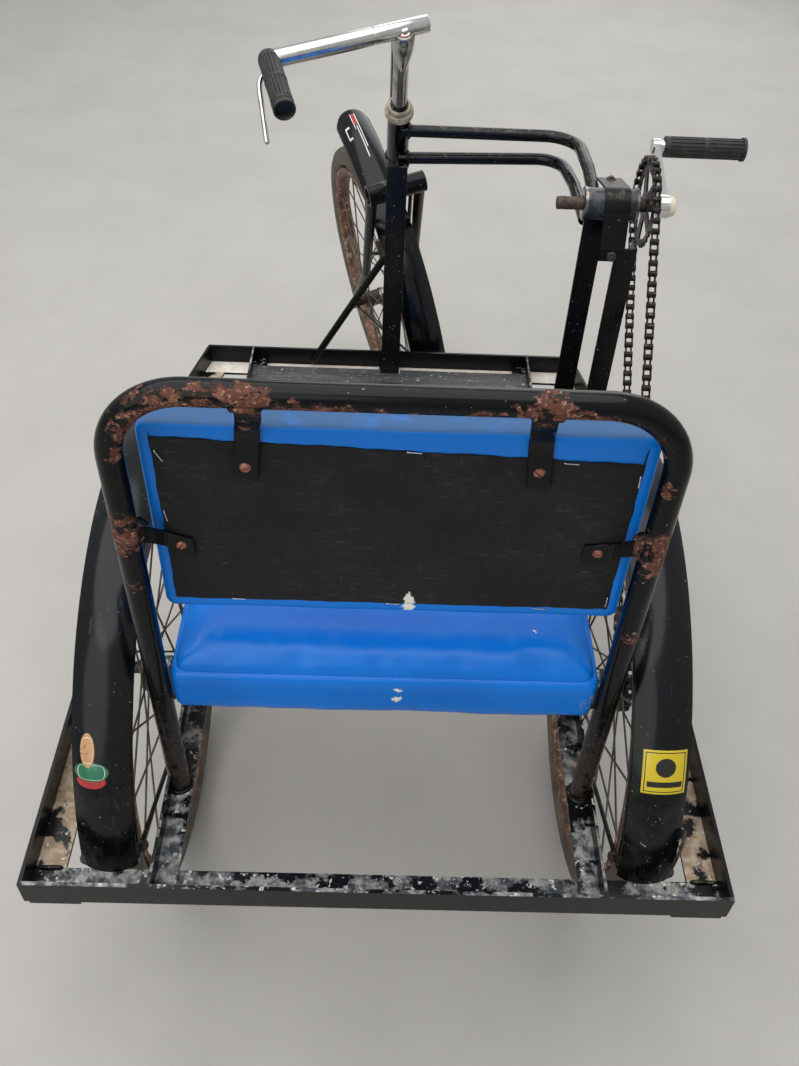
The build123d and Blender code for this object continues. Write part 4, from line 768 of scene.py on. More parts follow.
def soft_finishes(colours):
    """Covers, wood, rubber and plastic."""
    # Rubber of the two grips: black, matt, with grey dust in the flutes
    tree, shader, at = started("Grip rubber")
    where = at.outputs["Object"]
    grey = blotches(tree, where, 5.0, 0.5, 0.75, 6.0)
    worn = blotches(tree, where, 14.0, 0.5, 0.8, 4.0, 0.5)
    colour = coats(tree, "1B1B1C", (worn, "2C2B2A"), (grey, "4A4743"))
    dress(tree, shader, colour, levels(tree, 0.55, (grey, 0.8)), grey, 0.15, 0.4)
    # PVC-coated cloth: strong blue, soft gloss, pebbled grain 1.4 mm across, faint wrinkles and grey dust
    # on top. The grain of the real cover is about half as wide, and is drawn coarser so that it shows
    tree, shader, at = started("Blue PVC-coated cloth", ior=1.38)
    where = at.outputs["Object"]
    grain = add(tree, "TexVoronoi", {"Vector": where, "Scale": 1000 / 1.4},
                feature="SMOOTH_F1").outputs["Distance"]
    stretch = add(tree, "Mapping", {"Vector": where, "Scale": (0.35, 1.0, 1.0)}).outputs[0]
    ripple = add(tree, "TexNoise", {"Vector": stretch, "Scale": 1000 / 55.0, "Detail": 3.0}).outputs[0]
    cloud = blotches(tree, where, 120.0, 0.35, 0.7, 4.0)
    dust = product(tree, level_faces(tree, at, 0.6, 1.0), blotches(tree, where, 34.0, 0.52, 0.85, 8.0, 0.7))
    scuff = round_places(tree, where, [(206, -214, 534, 15), (206, -120, 580, 14), (-207, -190, 845, 10)],
                         0.012, 9.0)
    scuff = product(tree, scuff, blotches(tree, where, 4.0, 0.48, 0.6, 5.0, 0.2))
    white = round_places(tree, where, [(12, -221, 566, 6), (13, -221, 548, 4), (12, -221, 532, 5),
                                       (146, -175, 586, 2.4), (19, -192, 636, 7)], 0.004, 6.0)
    colour = coats(tree, colours.vinyl, (cloud, "0069C6"), (dust, "2C7FC8"), (scuff, "8B8FA0"),
                   (white, "E6E4DC"))
    height = add(tree, "Mix", {0: 0.75, 2: grain, 3: ripple}, data_type="FLOAT").outputs[0]
    rough = levels(tree, 0.30, (dust, 0.5), (scuff, 0.7), (white, 0.9))
    dress(tree, shader, colour, rough, height, 1.2, 0.35)
    # The same cover where the sun and dust have greyed it: the top face of the backrest
    tree, shader, at = started("Greyed PVC-coated cloth", ior=1.38)
    where = at.outputs["Object"]
    level = level_faces(tree, at, 0.35, 0.8)
    dust = product(tree, level, blotches(tree, where, 26.0, 0.16, 0.50, 8.0, 0.7))
    grime = product(tree, level, blotches(tree, where, 8.0, 0.62, 0.7, 6.0, 0.1))
    grain = add(tree, "TexVoronoi", {"Vector": where, "Scale": 1000 / 1.4},
                feature="SMOOTH_F1").outputs["Distance"]
    crease = add(tree, "TexNoise", {"Vector": where, "Scale": 1000 / 30.0, "Detail": 3.0}).outputs[0]
    white = round_places(tree, where, [(19, -192, 636, 7)], 0.004, 6.0)
    colour = coats(tree, colours.vinyl, (dust, "3A628F"), (grime, "4E5E70"), (white, "E6E4DC"))
    height = add(tree, "Mix", {0: 0.8, 2: grain, 3: crease}, data_type="FLOAT").outputs[0]
    dress(tree, shader, colour, levels(tree, 0.34, (dust, 0.65), (white, 0.9)), height, 1.2, 0.4)
    # Plain-woven cotton backing: charcoal, threads drawn 1.6 mm apart so that the weave shows, rubbed pale in
    # short crossing streaks and chalky at the edges
    tree, shader, at = started("Charcoal backing cloth", ior=1.3, sheen=0.04)
    where = at.outputs["Object"]
    thread = {"Vector": where, "Scale": 1000 / 1.6 / 3.14 / 2, "Distortion": 0.6, "Detail Scale": 4.0}
    across, upward = (add(tree, "TexWave", thread, wave_type="BANDS", bands_direction=way).outputs["Fac"]
                      for way in "XZ")
    weave = add(tree, "Math", {0: across, 1: upward}, operation="MULTIPLY").outputs[0]
    long_way = add(tree, "Mapping", {"Vector": where, "Scale": (0.16, 1.0, 1.0)}).outputs[0]
    high_way = add(tree, "Mapping", {"Vector": where, "Scale": (1.0, 1.0, 0.16)}).outputs[0]
    streak = blotches(tree, long_way, 2.2, 0.54, 0.72, 6.0)
    stroke = blotches(tree, high_way, 2.2, 0.56, 0.74, 6.0, 0.6)
    patch = blotches(tree, where, 70.0, 0.36, 0.68, 6.0, 0.2)
    chalk = blotches(tree, where, 20.0, 0.58, 0.78, 9.0, 1.2)
    white = round_places(tree, where, [(19, -191, 645, 6), (19, -191, 651, 4.5)], 0.004, 6.0)
    colour = coats(tree, colours.cloth, (patch, "222222"), (product(tree, streak, patch), "3B3C3C"),
                   (product(tree, stroke, patch), "363737"), (product(tree, chalk, streak), "5D5B56"),
                   (white, "E6E4DC"))
    dress(tree, shader, colour, 0.86, levels(tree, 0.5, (weave, 1.0), (streak, 0.7)), 0.5, 0.7)
    # Rotary-cut plywood under the seat: warm, open grain along the length, dusty
    tree, shader, at = started("Dusty plywood")
    where = at.outputs["Object"]
    along = add(tree, "Mapping", {"Vector": where, "Scale": (0.06, 1.0, 1.0)}).outputs[0]
    grain = blotches(tree, along, 4.0, 0.4, 0.62, 6.0)
    pore = blotches(tree, along, 1.2, 0.58, 0.66, 3.0, 0.4)
    colour = coats(tree, "A9835A", (grain, "8C6741"), (pore, "5E432A"))
    dress(tree, shader, colour, 0.75, grain, 0.2, 0.5)
    # Moulded polythene cap, yellowed to cream
    tree, shader, at = started("Cream polythene")
    where = at.outputs["Object"]
    dirt = blotches(tree, where, 6.0, 0.58, 0.72, 6.0)
    dress(tree, shader, coats(tree, "E8DDC4", (dirt, "B6A587")), levels(tree, 0.38, (dirt, 0.6)), dirt, 0.05,
          0.3)
    # Dusty headset cup
    tree, shader, at = started("Dusty bearing cup", metallic=0.5)
    where = at.outputs["Object"]
    dust = blotches(tree, where, 7.0, 0.38, 0.6, 7.0)
    colour = coats(tree, "8D8679", (dust, "C3B79F"))
    dress(tree, shader, colour, levels(tree, 0.45, (dust, 0.8)), dust, 0.15, 0.4)


def sticker_finishes():
    """Printed vinyl film without words: a field, a border line inside its edge, faded patches and flecks
    where the print has worn off. The line follows the piece's own UV map."""
    rows = (
        # name, field, border line, worn print, where the line runs, how much is worn
        ("Yellow film", "CDB51C", "1E1D18", "DCCB5A", 0.05, 0.72),
        ("Black print", "17160F", "17160F", "2A281C", 0.5, 0.70),
        ("Cream film", "B98A5C", "E6DCC4", "D8BE94", 0.12, 0.60),
        ("Green film", "1F6B4C", "D9D3BC", "3F8A6A", 0.10, 0.64),
        ("White film", "E8E6E1", "E8E6E1", "8A8C8E", 0.5, 0.66),
        ("Red film", "A82A2A", "B5242B", "8A5650", 0.5, 0.64),
    )
    for name, field, line, worn, inset, wear in rows:
        tree, shader, at = started(name, coat=0.3)
        split = add(tree, "SeparateXYZ", {0: at.outputs["UV"]})
        sides = []
        for k in (0, 1):
            out = add(tree, "Math", {0: split.outputs[k], 1: 0.5}, operation="SUBTRACT").outputs[0]
            sides.append(add(tree, "Math", {0: out}, operation="ABSOLUTE").outputs[0])
        rim = add(tree, "Math", {0: sides[0], 1: sides[1]}, operation="MAXIMUM").outputs[0]
        masks = []
        for low, high in ((0.5 - inset - 0.022, 0.5 - inset - 0.016), (0.5 - inset, 0.5 - inset + 0.006)):
            cut = {"Value": rim, "From Min": low, "From Max": high}
            masks.append(add(tree, "MapRange", cut, interpolation_type="SMOOTHSTEP").outputs[0])
        band = add(tree, "Math", {0: masks[0], 1: masks[1]}, operation="SUBTRACT").outputs[0]
        lift = blotches(tree, at.outputs["Object"], 4.0, wear, wear + 0.03, 6.0)
        shade = blotches(tree, at.outputs["Object"], 14.0, 0.45, 0.8, 4.0, 0.3)
        colour = coats(tree, field, (product(tree, shade, shade), worn), (band, line), (lift, "3A3A36"))
        dress(tree, shader, colour, levels(tree, 0.25, (lift, 0.7)), lift, 0.1, 0.4)


NODE_FINISHES = {
    "Dusty black enamel": ("left_outer_rail", "right_outer_rail"),
    "Black enamel with near-white flange": ("front_bar",),
    "Scuffed black enamel": ("rear_bar", "left_inner_rail", "right_inner_rail", "cross_bar"),
    "Black enamel": ("head_post", "left_crank_post", "right_crank_post", "seat_front_bearer",
                     "seat_rear_bearer", "fork"),
    "Rubbed enamel": ("bottom_bracket",),
    "Pipe enamel": ("upper_stay", "lower_stay", "head_tube"),
    "Flaked gloss enamel": ("backrest_tube",),
    "Stoved gloss enamel": ("left_mudguard", "right_mudguard", "front_mudguard"),
    "Chromium plate": ("handlebar", "brake_lever", "crank_arm"),
    "Worn plate": ("brake_linkage",),
    "Chromium plate painted dark for reflection": ("stem",),
    "Rusty steel": ("crank_spindle", "left_axle", "right_axle", "front_axle"),
    "Oiled steel": ("chain", "chainring", "freewheel_cog"),
    "Scuffed sheet steel": ("footboard",),
    "Grip rubber": ("crank_grip", "handlebar_grip"),
    "Blue PVC-coated cloth": ("seat_cushion", "backrest_pad"),
    "Dusty plywood": ("seat_board",),
    "Charcoal backing cloth": ("backrest_board",),
    "Rusted left wheel steel": ("left_wheel_core",),
    "Rusted right wheel steel": ("right_wheel_core",),
    "Rusted front wheel steel": ("front_wheel_core",),
    "Dusty left tyre rubber": ("left_tyre",),
    "Dusty right tyre rubber": ("right_tyre",),
    "Dusty front tyre rubber": ("front_tyre",),
}


class TRICYCLE_OT_finishes(bpy.types.Operator):
    """Makes every finish and gives each solid of the frame its own"""

    bl_idname = "tricycle.finishes"
    bl_label = "Finishes"

    def execute(self, context):
        colours = context.scene.tricycle_colours
        enamel_finishes(colours)
        hoop_finish(colours)
        guard_finish(colours)
        metal_finishes()
        wheel_finishes(colours)
        soft_finishes(colours)
        sticker_finishes()
        done = set()
        for name, members in NODE_FINISHES.items():
            for node in members:
                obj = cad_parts[node]
                obj.data.materials.clear()
                obj.data.materials.append(FINISHES[name])
                done.add(node)
        bare = set(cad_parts) - done
        if bare:
            raise RuntimeError(f"no finish for {sorted(bare)}")
        return {"FINISHED"}


# Pieces
class TRICYCLE_OT_tyres(bpy.types.Operator):
    """Three tyres with blocks round the shoulders, a broken centre rib and fine rings on the walls"""

    bl_idname = "tricycle.tyres"
    bl_label = "Tyres"

    def execute(self, context):
        sizes = context.scene.tricycle_sizes
        around = sizes.pitches * 6
        t = np.arange(around) * 2 * pi / around
        phi = np.linspace(-pi, pi, 45)[:-1]
        turn, bend = np.meshgrid(t, phi, indexing="ij")
        reach = np.abs(np.degrees(bend))
        beat = np.cos(sizes.pitches * turn + np.sign(bend) * 0.5 * pi + reach * 0.035)
        block = np.clip(beat * 3 + 0.9, 0, 1)
        zigzag = reach - 12 - 3.5 * np.cos(sizes.pitches * turn / 2)
        lift = np.where(reach < 46, np.where(zigzag < 0, 1.0, np.where(zigzag < 5, 0.0, block)), 0.0)
        lift = lift * np.clip((50 - reach) / 6, 0, 1) * sizes.tread
        wall = 0.35 * np.clip(np.cos(np.radians(reach) * 28), 0, 1) * ((reach > 62) & (reach < 118))
        section = TYRE_R - sizes.tread + lift + wall
        x = section * np.sin(bend)
        radius = np.maximum(WHEEL_R - TYRE_R + section * np.cos(bend), RIM_OUT + 0.1)
        for name, centre, axes in WHEELS:
            out = np.cos(turn)[..., None] * axes[1] + np.sin(turn)[..., None] * axes[2]
            points = x[..., None] * axes[0] + radius[..., None] * out + centre
            shape = points.reshape(-1, 3), [quads(around, len(phi), True, True)]
            piece(f"{name}_tyre_tread", shape, f"Dusty {name} tyre rubber", f"{name}_wheel",
                  (f"{name}_tyre",), sharp=50)
        return {"FINISHED"}


class TRICYCLE_OT_wheel_fittings(bpy.types.Operator):
    """Spoke nipples, tyre valves and hub oil clips on the three wheels"""

    bl_idname = "tricycle.wheel_fittings"
    bl_label = "Wheel fittings"

    def execute(self, context):
        nipple = turned([(-8, 0), (-8, 1.9), (-1, 2.2), (0, 3.2), (0.6, 3.2), (0.6, 0)], 8)
        stem = turned([(-22, 0), (-22, 2.0), (-20.5, 2.6), (-9, 2.6), (-9, 3.4), (-6, 3.4), (-6, 2.6),
                       (-3, 2.6), (-3, 5.6), (0.4, 5.6), (0.4, 0)], 16)
        i = np.arange(SPOKES)
        at = i * 2 * pi / SPOKES
        flange = np.where(i % 2, 1.0, -1.0) * SPOKE_STAGGER
        for name, centre, axes in WHEELS:
            out = np.sin(at)[:, None] * axes[1] + np.cos(at)[:, None] * axes[2]
            origins = centre + out * RIM_IN + flange[:, None] * axes[0]
            along = np.stack([out, np.broadcast_to(axes[0], out.shape), np.cross(out, axes[0])], 1)
            spokes = copies(*nipple, origins, along)
            way = np.sin(at[4] + pi / SPOKES) * axes[1] + np.cos(at[4] + pi / SPOKES) * axes[2]
            valve = copies(*stem, [centre + way * RIM_IN], np.array([way, axes[0], np.cross(way, axes[0])]))
            cap = turned([(-5, 15.1), (-5, 16.4), (-3, 17.0), (3, 17.0), (5, 16.4), (5, 15.1)], 32, axes,
                         centre)
            piece(f"{name}_nipples", together(spokes, valve), f"Rusted {name} wheel steel",
                  f"{name}_wheel")
            piece(f"{name}_hub_clip", cap, "Worn plate", f"{name}_wheel")
        return {"FINISHED"}


def chain_pins():
    """Pin centres as (y, z) rows, evenly spaced along the loop: a straight run tangent to both pitch
    circles, the arc round the ring, the run back and the arc round the cog."""
    ring_r, cog_r = (PITCH / (2 * np.sin(pi / teeth)) for teeth in (RING_TEETH, COG_TEETH))
    cog, ring = np.array([0.0, WHEEL_R]), np.array([CRANK_Y, CRANK_Z])
    centres = np.linalg.norm(ring - cog)
    lean = np.arctan2(*(ring - cog)[::-1])
    spread = np.arccos((cog_r - ring_r) / centres)
    run = np.sqrt(centres ** 2 - (ring_r - cog_r) ** 2)
    ring_arc, cog_arc = 2 * spread * ring_r, 2 * (pi - spread) * cog_r
    s = (2 * run + ring_arc + cog_arc) * np.arange(LINKS) / LINKS

    def about(centre, r, angle):
        angle = np.asarray(angle, float)
        return centre + r * np.stack([np.cos(angle), np.sin(angle)], -1)

    up = about(cog, cog_r, lean + spread), about(ring, ring_r, lean + spread)
    down = about(ring, ring_r, lean - spread), about(cog, cog_r, lean - spread)
    rising = up[0] + (up[1] - up[0]) * (s / run)[:, None]
    over = about(ring, ring_r, lean + spread - (s - run) / ring_r)
    falling = down[0] + (down[1] - down[0]) * ((s - run - ring_arc) / run)[:, None]
    under = about(cog, cog_r, lean - spread - (s - 2 * run - ring_arc) / cog_r)
    part = np.digitize(s, [run, run + ring_arc, 2 * run + ring_arc])[:, None]
    return np.select([part == 0, part == 1, part == 2], [rising, over, falling], under)


class TRICYCLE_OT_chain(bpy.types.Operator):
    """Roller chain link by link: waisted inner and outer plates, rollers and riveted pins"""

    bl_idname = "tricycle.chain"
    bl_label = "Chain"

    def execute(self, context):
        pins = chain_pins()
        run = unit(np.roll(pins, -1, 0) - pins)
        turn = np.zeros((LINKS, 3, 3))
        turn[:, 0, 0] = 1
        turn[:, 1, 1:] = run
        turn[:, 2, 1:] = np.stack([-run[:, 1], run[:, 0]], -1)
        # Plate outline: an arc round each pin, drawn in to a waist between them
        t = np.linspace(radians(48), radians(312), 11)
        lobe = np.stack([4.2 * np.cos(t), 4.2 * np.sin(t)], -1)
        outline = np.concatenate([lobe, [(PITCH / 2, -2.6)], [PITCH, 0] - lobe, [(PITCH / 2, 2.6)]])
        plate = slab(outline, 1.1)
        even, odd = np.arange(0, LINKS, 2), np.arange(1, LINKS, 2)
        shapes = []
        for links, gap in ((even, 3.3), (odd, 4.5)):
            for side in (-1, 1):
                origins = np.c_[np.full(len(links), CHAIN_X + side * gap), pins[links]]
                shapes.append(copies(*plate, origins, turn[links]))
        origins = np.c_[np.full(LINKS, CHAIN_X), pins]
        roller = turned([(-2.7, 1.5), (-2.7, 3.9), (2.7, 3.9), (2.7, 1.5)], 14)
        pin = turned([(-5.6, 0), (-5.6, 1.4), (-5.2, 1.8), (5.2, 1.8), (5.6, 1.4), (5.6, 0)], 10)
        shapes += [copies(*roller, origins, turn), copies(*pin, origins, turn)]
        piece("chain_links", together(*shapes), "Oiled steel", "frame", ("chain",), sharp=30)
        return {"FINISHED"}


def cushion_shape(half_a, half_b, corner, profile, samples=176):
    """Closed cushion as points (a, b, height): a rounded rectangle scaled by (1 - inset / half width) each
    way for every (inset, height) row of its profile, from the middle of one face round the side to the
    middle of the other."""
    ring = rounded_ring(half_a, half_b, corner, samples)[0]
    inset, height = np.asarray(profile, float).T
    scale = np.stack([1 - np.minimum(inset, half_a) / half_a, 1 - np.minimum(inset, half_b) / half_b], -1)
    flat = ring[:, None] * scale[None]
    points = np.concatenate([flat, np.broadcast_to(height[None, :, None], flat.shape[:2] + (1,))], -1)
    return points.reshape(-1, 3), [quads(samples, len(profile), True)]


class TRICYCLE_OT_seat(bpy.types.Operator):
    """Foam seat in a blue vinyl cover, filled by a cloth simulation, flat where it rests on its board"""

    bl_idname = "tricycle.seat"
    bl_label = "Seat cushion"

    def execute(self, context):
        sizes = context.scene.tricycle_sizes
        middle = (SEAT_REAR + SEAT_FRONT) / 2
        half_b = (SEAT_FRONT - SEAT_REAR) / 2
        high = SEAT_TOP - BOARD_TOP
        profile = [(half_b, 0.4), (60, 0.4), (14, 0.4), (5, 0.6), (2.2, 3), (1.6, 10), (1.8, 24),
                   (2.0, high - 24), (3.0, high - 18.5), (7, high - 14), (16, high - 11), (36, high - 7.5),
                   (70, high - 4), (half_b, high - 2)]
        points, faces = cushion_shape(SEAT_HALF - 1.5, half_b - 1.5, 9.0, profile)
        points = points + np.array([0, middle, BOARD_TOP])
        seat = piece("seat_cover", (points, faces), "Blue PVC-coated cloth", "frame",
                     ("seat_cushion",))
        swell(seat, 5.0, sizes.swell, sizes.seat_cap, (-SEAT_HALF + 1, SEAT_REAR + 1, BOARD_TOP + 0.3),
              (SEAT_HALF - 1, SEAT_FRONT - 1, SEAT_TOP + 2.5))
        # Slack in the cover: the sides ripple by under a millimetre, most at the lower edge
        co = (vertices(seat) - MIDDLE) * 1000
        low = np.clip((SEAT_TOP - co[:, 2]) / high, 0, 1) ** 2
        wave = 0.9 * np.sin(co[:, 0] / 17.0 + 0.6) + 0.6 * np.sin(co[:, 0] / 7.3 + co[:, 2] / 15.0)
        edge = np.clip((np.abs(co[:, 1] - middle) - half_b + 12) / 10, 0, 1)
        co[:, 1] += np.sign(middle - co[:, 1]) * edge * low * (0.8 + wave) * 0.9
        top = np.clip((co[:, 2] - SEAT_TOP + 14) / 10, 0, 1)
        co[:, 2] += top * 0.5 * np.sin(co[:, 0] / 46.0 + co[:, 1] / 60.0)
        set_vertices(seat, place(co))
        # Hem of the cover, drawn down over the board's edge and turned under it
        ring, out, s = rounded_ring(SEAT_HALF - 1.5, half_b - 1.5, 9.0, 420)
        rows = (
            # outward step, height, how much the row ripples
            (-6.0, 561.0, 0.0), (-0.6, 560.4, 0.1), (1.8, 558.4, 0.2), (2.8, 553.0, 0.2), (3.0, 544.0, 0.4),
            (2.8, 533.0, 0.6), (2.4, 520.0, 0.8), (1.8, 513.0, 1.0), (0.8, 510.2, 0.9), (-1.8, 508.9, 0.5),
            (-9.0, 508.5, 0.2), (-20.0, 508.8, 0.0), (-20.0, 509.7, 0.0), (-9.0, 509.6, 0.0),
            (-2.4, 510.0, 0.0), (-0.6, 512.6, 0.2), (0.0, 520.0, 0.2), (0.4, 540.0, 0.2), (-0.4, 552.0, 0.0),
            (-6.0, 556.0, 0.0),
        )
        step, height, ripple = np.array(rows).T
        wave = (0.45 * np.sin(s / 23.0) + 0.3 * np.sin(s / 8.0 + 1.0))[:, None] * ripple
        sag = (0.8 * np.sin(s / 33.0 + 1.0))[:, None] * ripple * (height < 513)
        flat = ring[:, None] + out[:, None] * (step + wave)[..., None]
        points = np.concatenate([flat, (height + sag)[..., None]], -1) + np.array([0, middle, 0])
        shape = points.reshape(-1, 3), [quads(len(s), len(rows), True, True)]
        piece("seat_hem", shape, "Blue PVC-coated cloth", "frame", sharp=60)
        return {"FINISHED"}


class TRICYCLE_OT_backrest(bpy.types.Operator):
    """Backrest: padded front, cover folded round the board, tacked backing cloth and staples"""

    bl_idname = "tricycle.backrest"
    bl_label = "Backrest"

    def execute(self, context):
        sizes = context.scene.tricycle_sizes
        half_z = (BACK_HIGH - BACK_LOW) / 2
        middle_z = (BACK_HIGH + BACK_LOW) / 2
        deep = PAD_FRONT - PAD_REAR
        profile = [(half_z, 0.3), (40, 0.3), (8, 0.3), (2.5, 1), (1.2, 5), (1.4, deep - 12), (3.5, deep - 6),
                   (10, deep - 3.6), (40, deep - 2.4), (half_z, deep - 2)]
        points, faces = cushion_shape(BACK_HALF - 1, half_z - 1, 9.0, profile)
        points = np.stack([points[:, 0] + BACK_X, points[:, 2] + PAD_REAR, middle_z - points[:, 1]], -1)
        pad = piece("backrest_cover", (points, faces), "Greyed PVC-coated cloth", "frame",
                    ("backrest_pad",))
        swell(pad, 4.5, sizes.swell, sizes.back_cap, (BACK_X - BACK_HALF - 1, PAD_REAR, BACK_LOW - 1),
              (BACK_X + BACK_HALF + 1, PAD_FRONT + 4, BACK_HIGH + 1))
        # Fold of the cover: a band round the board's edge whose inner rim wanders on the back
        ring, out, s = rounded_ring(BACK_HALF, half_z, 9.0, 420)
        top = np.clip(out[:, 1], 0, 1)[:, None]
        wide = 9.0 + top * (11.0 + 7.0 * ring[:, :1] / BACK_HALF)
        wide = wide + 0.4 * np.sin(s / 9.0)[:, None] + 0.25 * np.sin(s / 3.7)[:, None]
        rows = (
            # share of the fold's width drawn in, outward step, height behind the board
            (0.0, 0.9, -16.0), (0.0, 1.1, -6.0), (0.0, 1.1, -1.5), (0.03, 0.4, 0.9), (0.12, 0.0, 1.8),
            (0.5, 0.0, 1.5), (0.9, 0.0, 1.2), (1.0, 0.0, 0.9), (1.02, 0.0, 0.1), (0.5, 0.0, -0.3),
            (0.06, -1.5, -1.0), (0.0, -1.5, -16.0),
        )
        share, step, height = np.array(rows).T
        puff = 0.35 * np.sin(s / 21.0)[:, None] * (height > 0.5)
        flat = ring[:, None] + out[:, None] * (step[None, :, None] - (share * wide)[..., None])
        points = np.stack([flat[..., 0] + BACK_X, BACK_REAR - height - puff, flat[..., 1] + middle_z], -1)
        shape = points.reshape(-1, 3), [quads(len(s), len(rows), True, True)]
        piece("backrest_fold", shape, "Greyed PVC-coated cloth", "frame", sharp=60)
        # Backing cloth: bilinear between its four corners, lifted by wrinkles that run from the tacks
        u, v = np.meshgrid(np.linspace(0, 1, 151), np.linspace(0, 1, 81), indexing="ij")
        low_left, low_right = np.array([-197.0, 640.0]), np.array([205.0, 640.0])
        high_left, high_right = np.array([-197.0, 831.0]), np.array([205.0, 817.0])
        flat = ((1 - u) * (1 - v))[..., None] * low_left + (u * (1 - v))[..., None] * low_right
        flat = flat + ((1 - u) * v)[..., None] * high_left + (u * v)[..., None] * high_right
        x, z = flat[..., 0], flat[..., 1]
        pulls = np.zeros_like(x)
        for at_x, at_z, wide, reach in ((16, 821, 10, 46), (-190, 640, 7, 60), (141, 640, 8, 40),
                                        (205, 800, 9, 50), (-150, 828, 8, 44), (80, 822, 9, 38),
                                        (205, 660, 8, 60), (-60, 640, 9, 34)):
            far = np.hypot(x - at_x, z - at_z)
            angle = np.arctan2(z - at_z, x - at_x)
            pulls += np.exp(-far / reach) * np.cos(angle * wide) * np.clip(far / 12, 0, 1)
        slack = 0.5 * np.sin(z / 6.0 + 1.3 * np.sin(x / 40.0)) + 0.4 * np.sin((x + 2 * z) / 26.0)
        frayed = (np.abs(v - 0.5) > 0.499) | (np.abs(u - 0.5) > 0.499)
        lift = 1.0 + 1.1 * pulls + 0.35 * slack
        lift = np.where(frayed, 0.4, np.maximum(lift, 0.35))
        points = np.stack([x, BACK_REAR - lift, z], -1).reshape(-1, 3)
        cloth = piece("backrest_cloth", (points, [quads(151, 81)]), "Charcoal backing cloth",
                      "frame", mend=False, sharp=80)
        thick = cloth.modifiers.new("Thick", "SOLIDIFY")
        thick.thickness = 0.0004
        thick.offset = -1.0
        applied(cloth)
        # Staples: a wire crown with its two ends bent into the board
        rows = np.array([(16.0, 824.0, 4.0), (143.7, 817.5, 3.0), (-137.9, 643.0, 2.0), (4.3, 642.0, 3.0),
                         (141.2, 641.0, 3.0), (-192.5, 745.7, 82.0), (202.0, 800.0, 88.0),
                         (201.5, 652.0, 90.0), (-190.0, 812.0, 62.0)])
        half = sizes.staple / 2
        crown = [(-half, 2.5, 0), (-half, -0.5, 0), (half, -0.5, 0), (half, 2.5, 0)]
        wire = round_bar(smooth_line(crown, 0.5, 0.5), 0.55, 6, up=(0.0, 0.0, 1.0))
        angle = np.radians(rows[:, 2])
        zero = np.zeros(len(rows))
        across = np.stack([np.cos(angle), zero, -np.sin(angle)], -1)
        upward = np.stack([np.sin(angle), zero, np.cos(angle)], -1)
        axes = np.stack([across, np.broadcast_to([0, 1.0, 0], across.shape), upward], 1)
        origins = np.stack([rows[:, 0], np.full(len(rows), BACK_REAR - 2.1), rows[:, 1]], -1)
        piece("backrest_staples", copies(*wire, origins, axes), "Staple wire", "frame")
        return {"FINISHED"}


def hexagon(t):
    """Distance to the side of a hexagon of half width one, by angle."""
    return 1 / np.cos((t + pi / 6) % (pi / 3) - pi / 6)


def nut(across, thick, bolt):
    """Hexagon nut with a chamfered top and the end of its bolt standing through it, along the first axis."""
    half = across / 2
    return turned([(0, 0, 0), (0, half, 1), (thick * 0.86, half, 1), (thick, half * 0.97, 0),
                   (thick, bolt, 0), (thick + 2.2, bolt, 0), (thick + 2.8, bolt * 0.8, 0),
                   (thick + 2.8, 0, 0)], 36, shape=hexagon)


def washer(radius, thick):
    """Plain washer, along the first axis."""
    return turned([(0, 0), (0, radius), (thick * 0.8, radius), (thick, radius - 0.4), (thick, 0)], 32)


def slotted_head(radius, high, slot):
    """Round screw head with a sawn slot: a square grid bent to a disc, its height a dome less the slot's
    depth."""
    a, b = np.meshgrid(np.linspace(-1, 1, 33), np.linspace(-1, 1, 33), indexing="ij")
    y, z = a * np.sqrt(1 - b * b / 2), b * np.sqrt(1 - a * a / 2)
    r = np.hypot(y, z)
    dome = high * (1 - np.clip(r, 0, 1) ** 4)
    x = np.where((np.abs(z) * radius < slot) & (r < 0.985), dome * 0.35, dome)
    skirt = np.stack([x, y * radius, z * radius], -1).reshape(-1, 3)
    return skirt, [quads(33, 33)]


class TRICYCLE_OT_fasteners(bpy.types.Operator):
    """Slotted screws on the straps, tray bolts and saddle bolts, with the washers under them"""

    bl_idname = "tricycle.fasteners"
    bl_label = "Fasteners"

    def execute(self, context):
        back = facing((0, -1, 0))
        screw = slotted_head(5.0, 2.4, 0.75)
        spots = ((-120.5, 804.4, 20), (118.0, 808.5, -35), (-183.0, 713.0, 55), (182.0, 718.0, 10))
        heads = []
        for x, z, turn in spots:
            c, s = np.cos(radians(turn)), np.sin(radians(turn))
            axes = np.array([back[0], c * back[1] + s * back[2], c * back[2] - s * back[1]])
            heads.append(copies(*screw, [(x, -194.4, z)], axes))
        piece("strap_screws", together(*heads), "Coppery rusted steel", "frame")
        bolts = []
        up = facing((0, 0, 1), (0, 1, 0))
        for side in (-1, 1):
            bolts.append(copies(*together(washer(7.5, 1.4), nut(10, 5, 2.8)),
                                [(side * 252.0, -285.0, FRAME_LOW + 4)], up))
            bolts.append(copies(*together(washer(7.5, 1.4), nut(10, 5, 2.8)),
                                [(side * 306.0, -300.0, FRAME_LOW + 4)], up))
        for x in (-200.0, -70.0, 70.0, 200.0):
            bolts.append(copies(*together(washer(8.0, 1.2), nut(10, 4, 2.6)), [(x, 530.0, INNER_TOP + 2)],
                                up))
        piece("tray_bolts", together(*bolts), "Rusty steel", "frame")
        x = BRACKET_RIGHT - 28
        y = CRANK_Y - 20 - 14 - 3
        straps = [copies(*nut(11, 5, 3.0), [(x, y, CRANK_Z - 52)], back)]
        top = facing((0, 0, 1), (0, 1, 0))
        straps.append(copies(*together(washer(8, 1.4), nut(11, 5, 3.0)), [(x, CRANK_Y + 46, CRANK_Z + 9)],
                             top))
        piece("saddle_bolts", together(*straps), "Rusty steel", "frame")
        return {"FINISHED"}


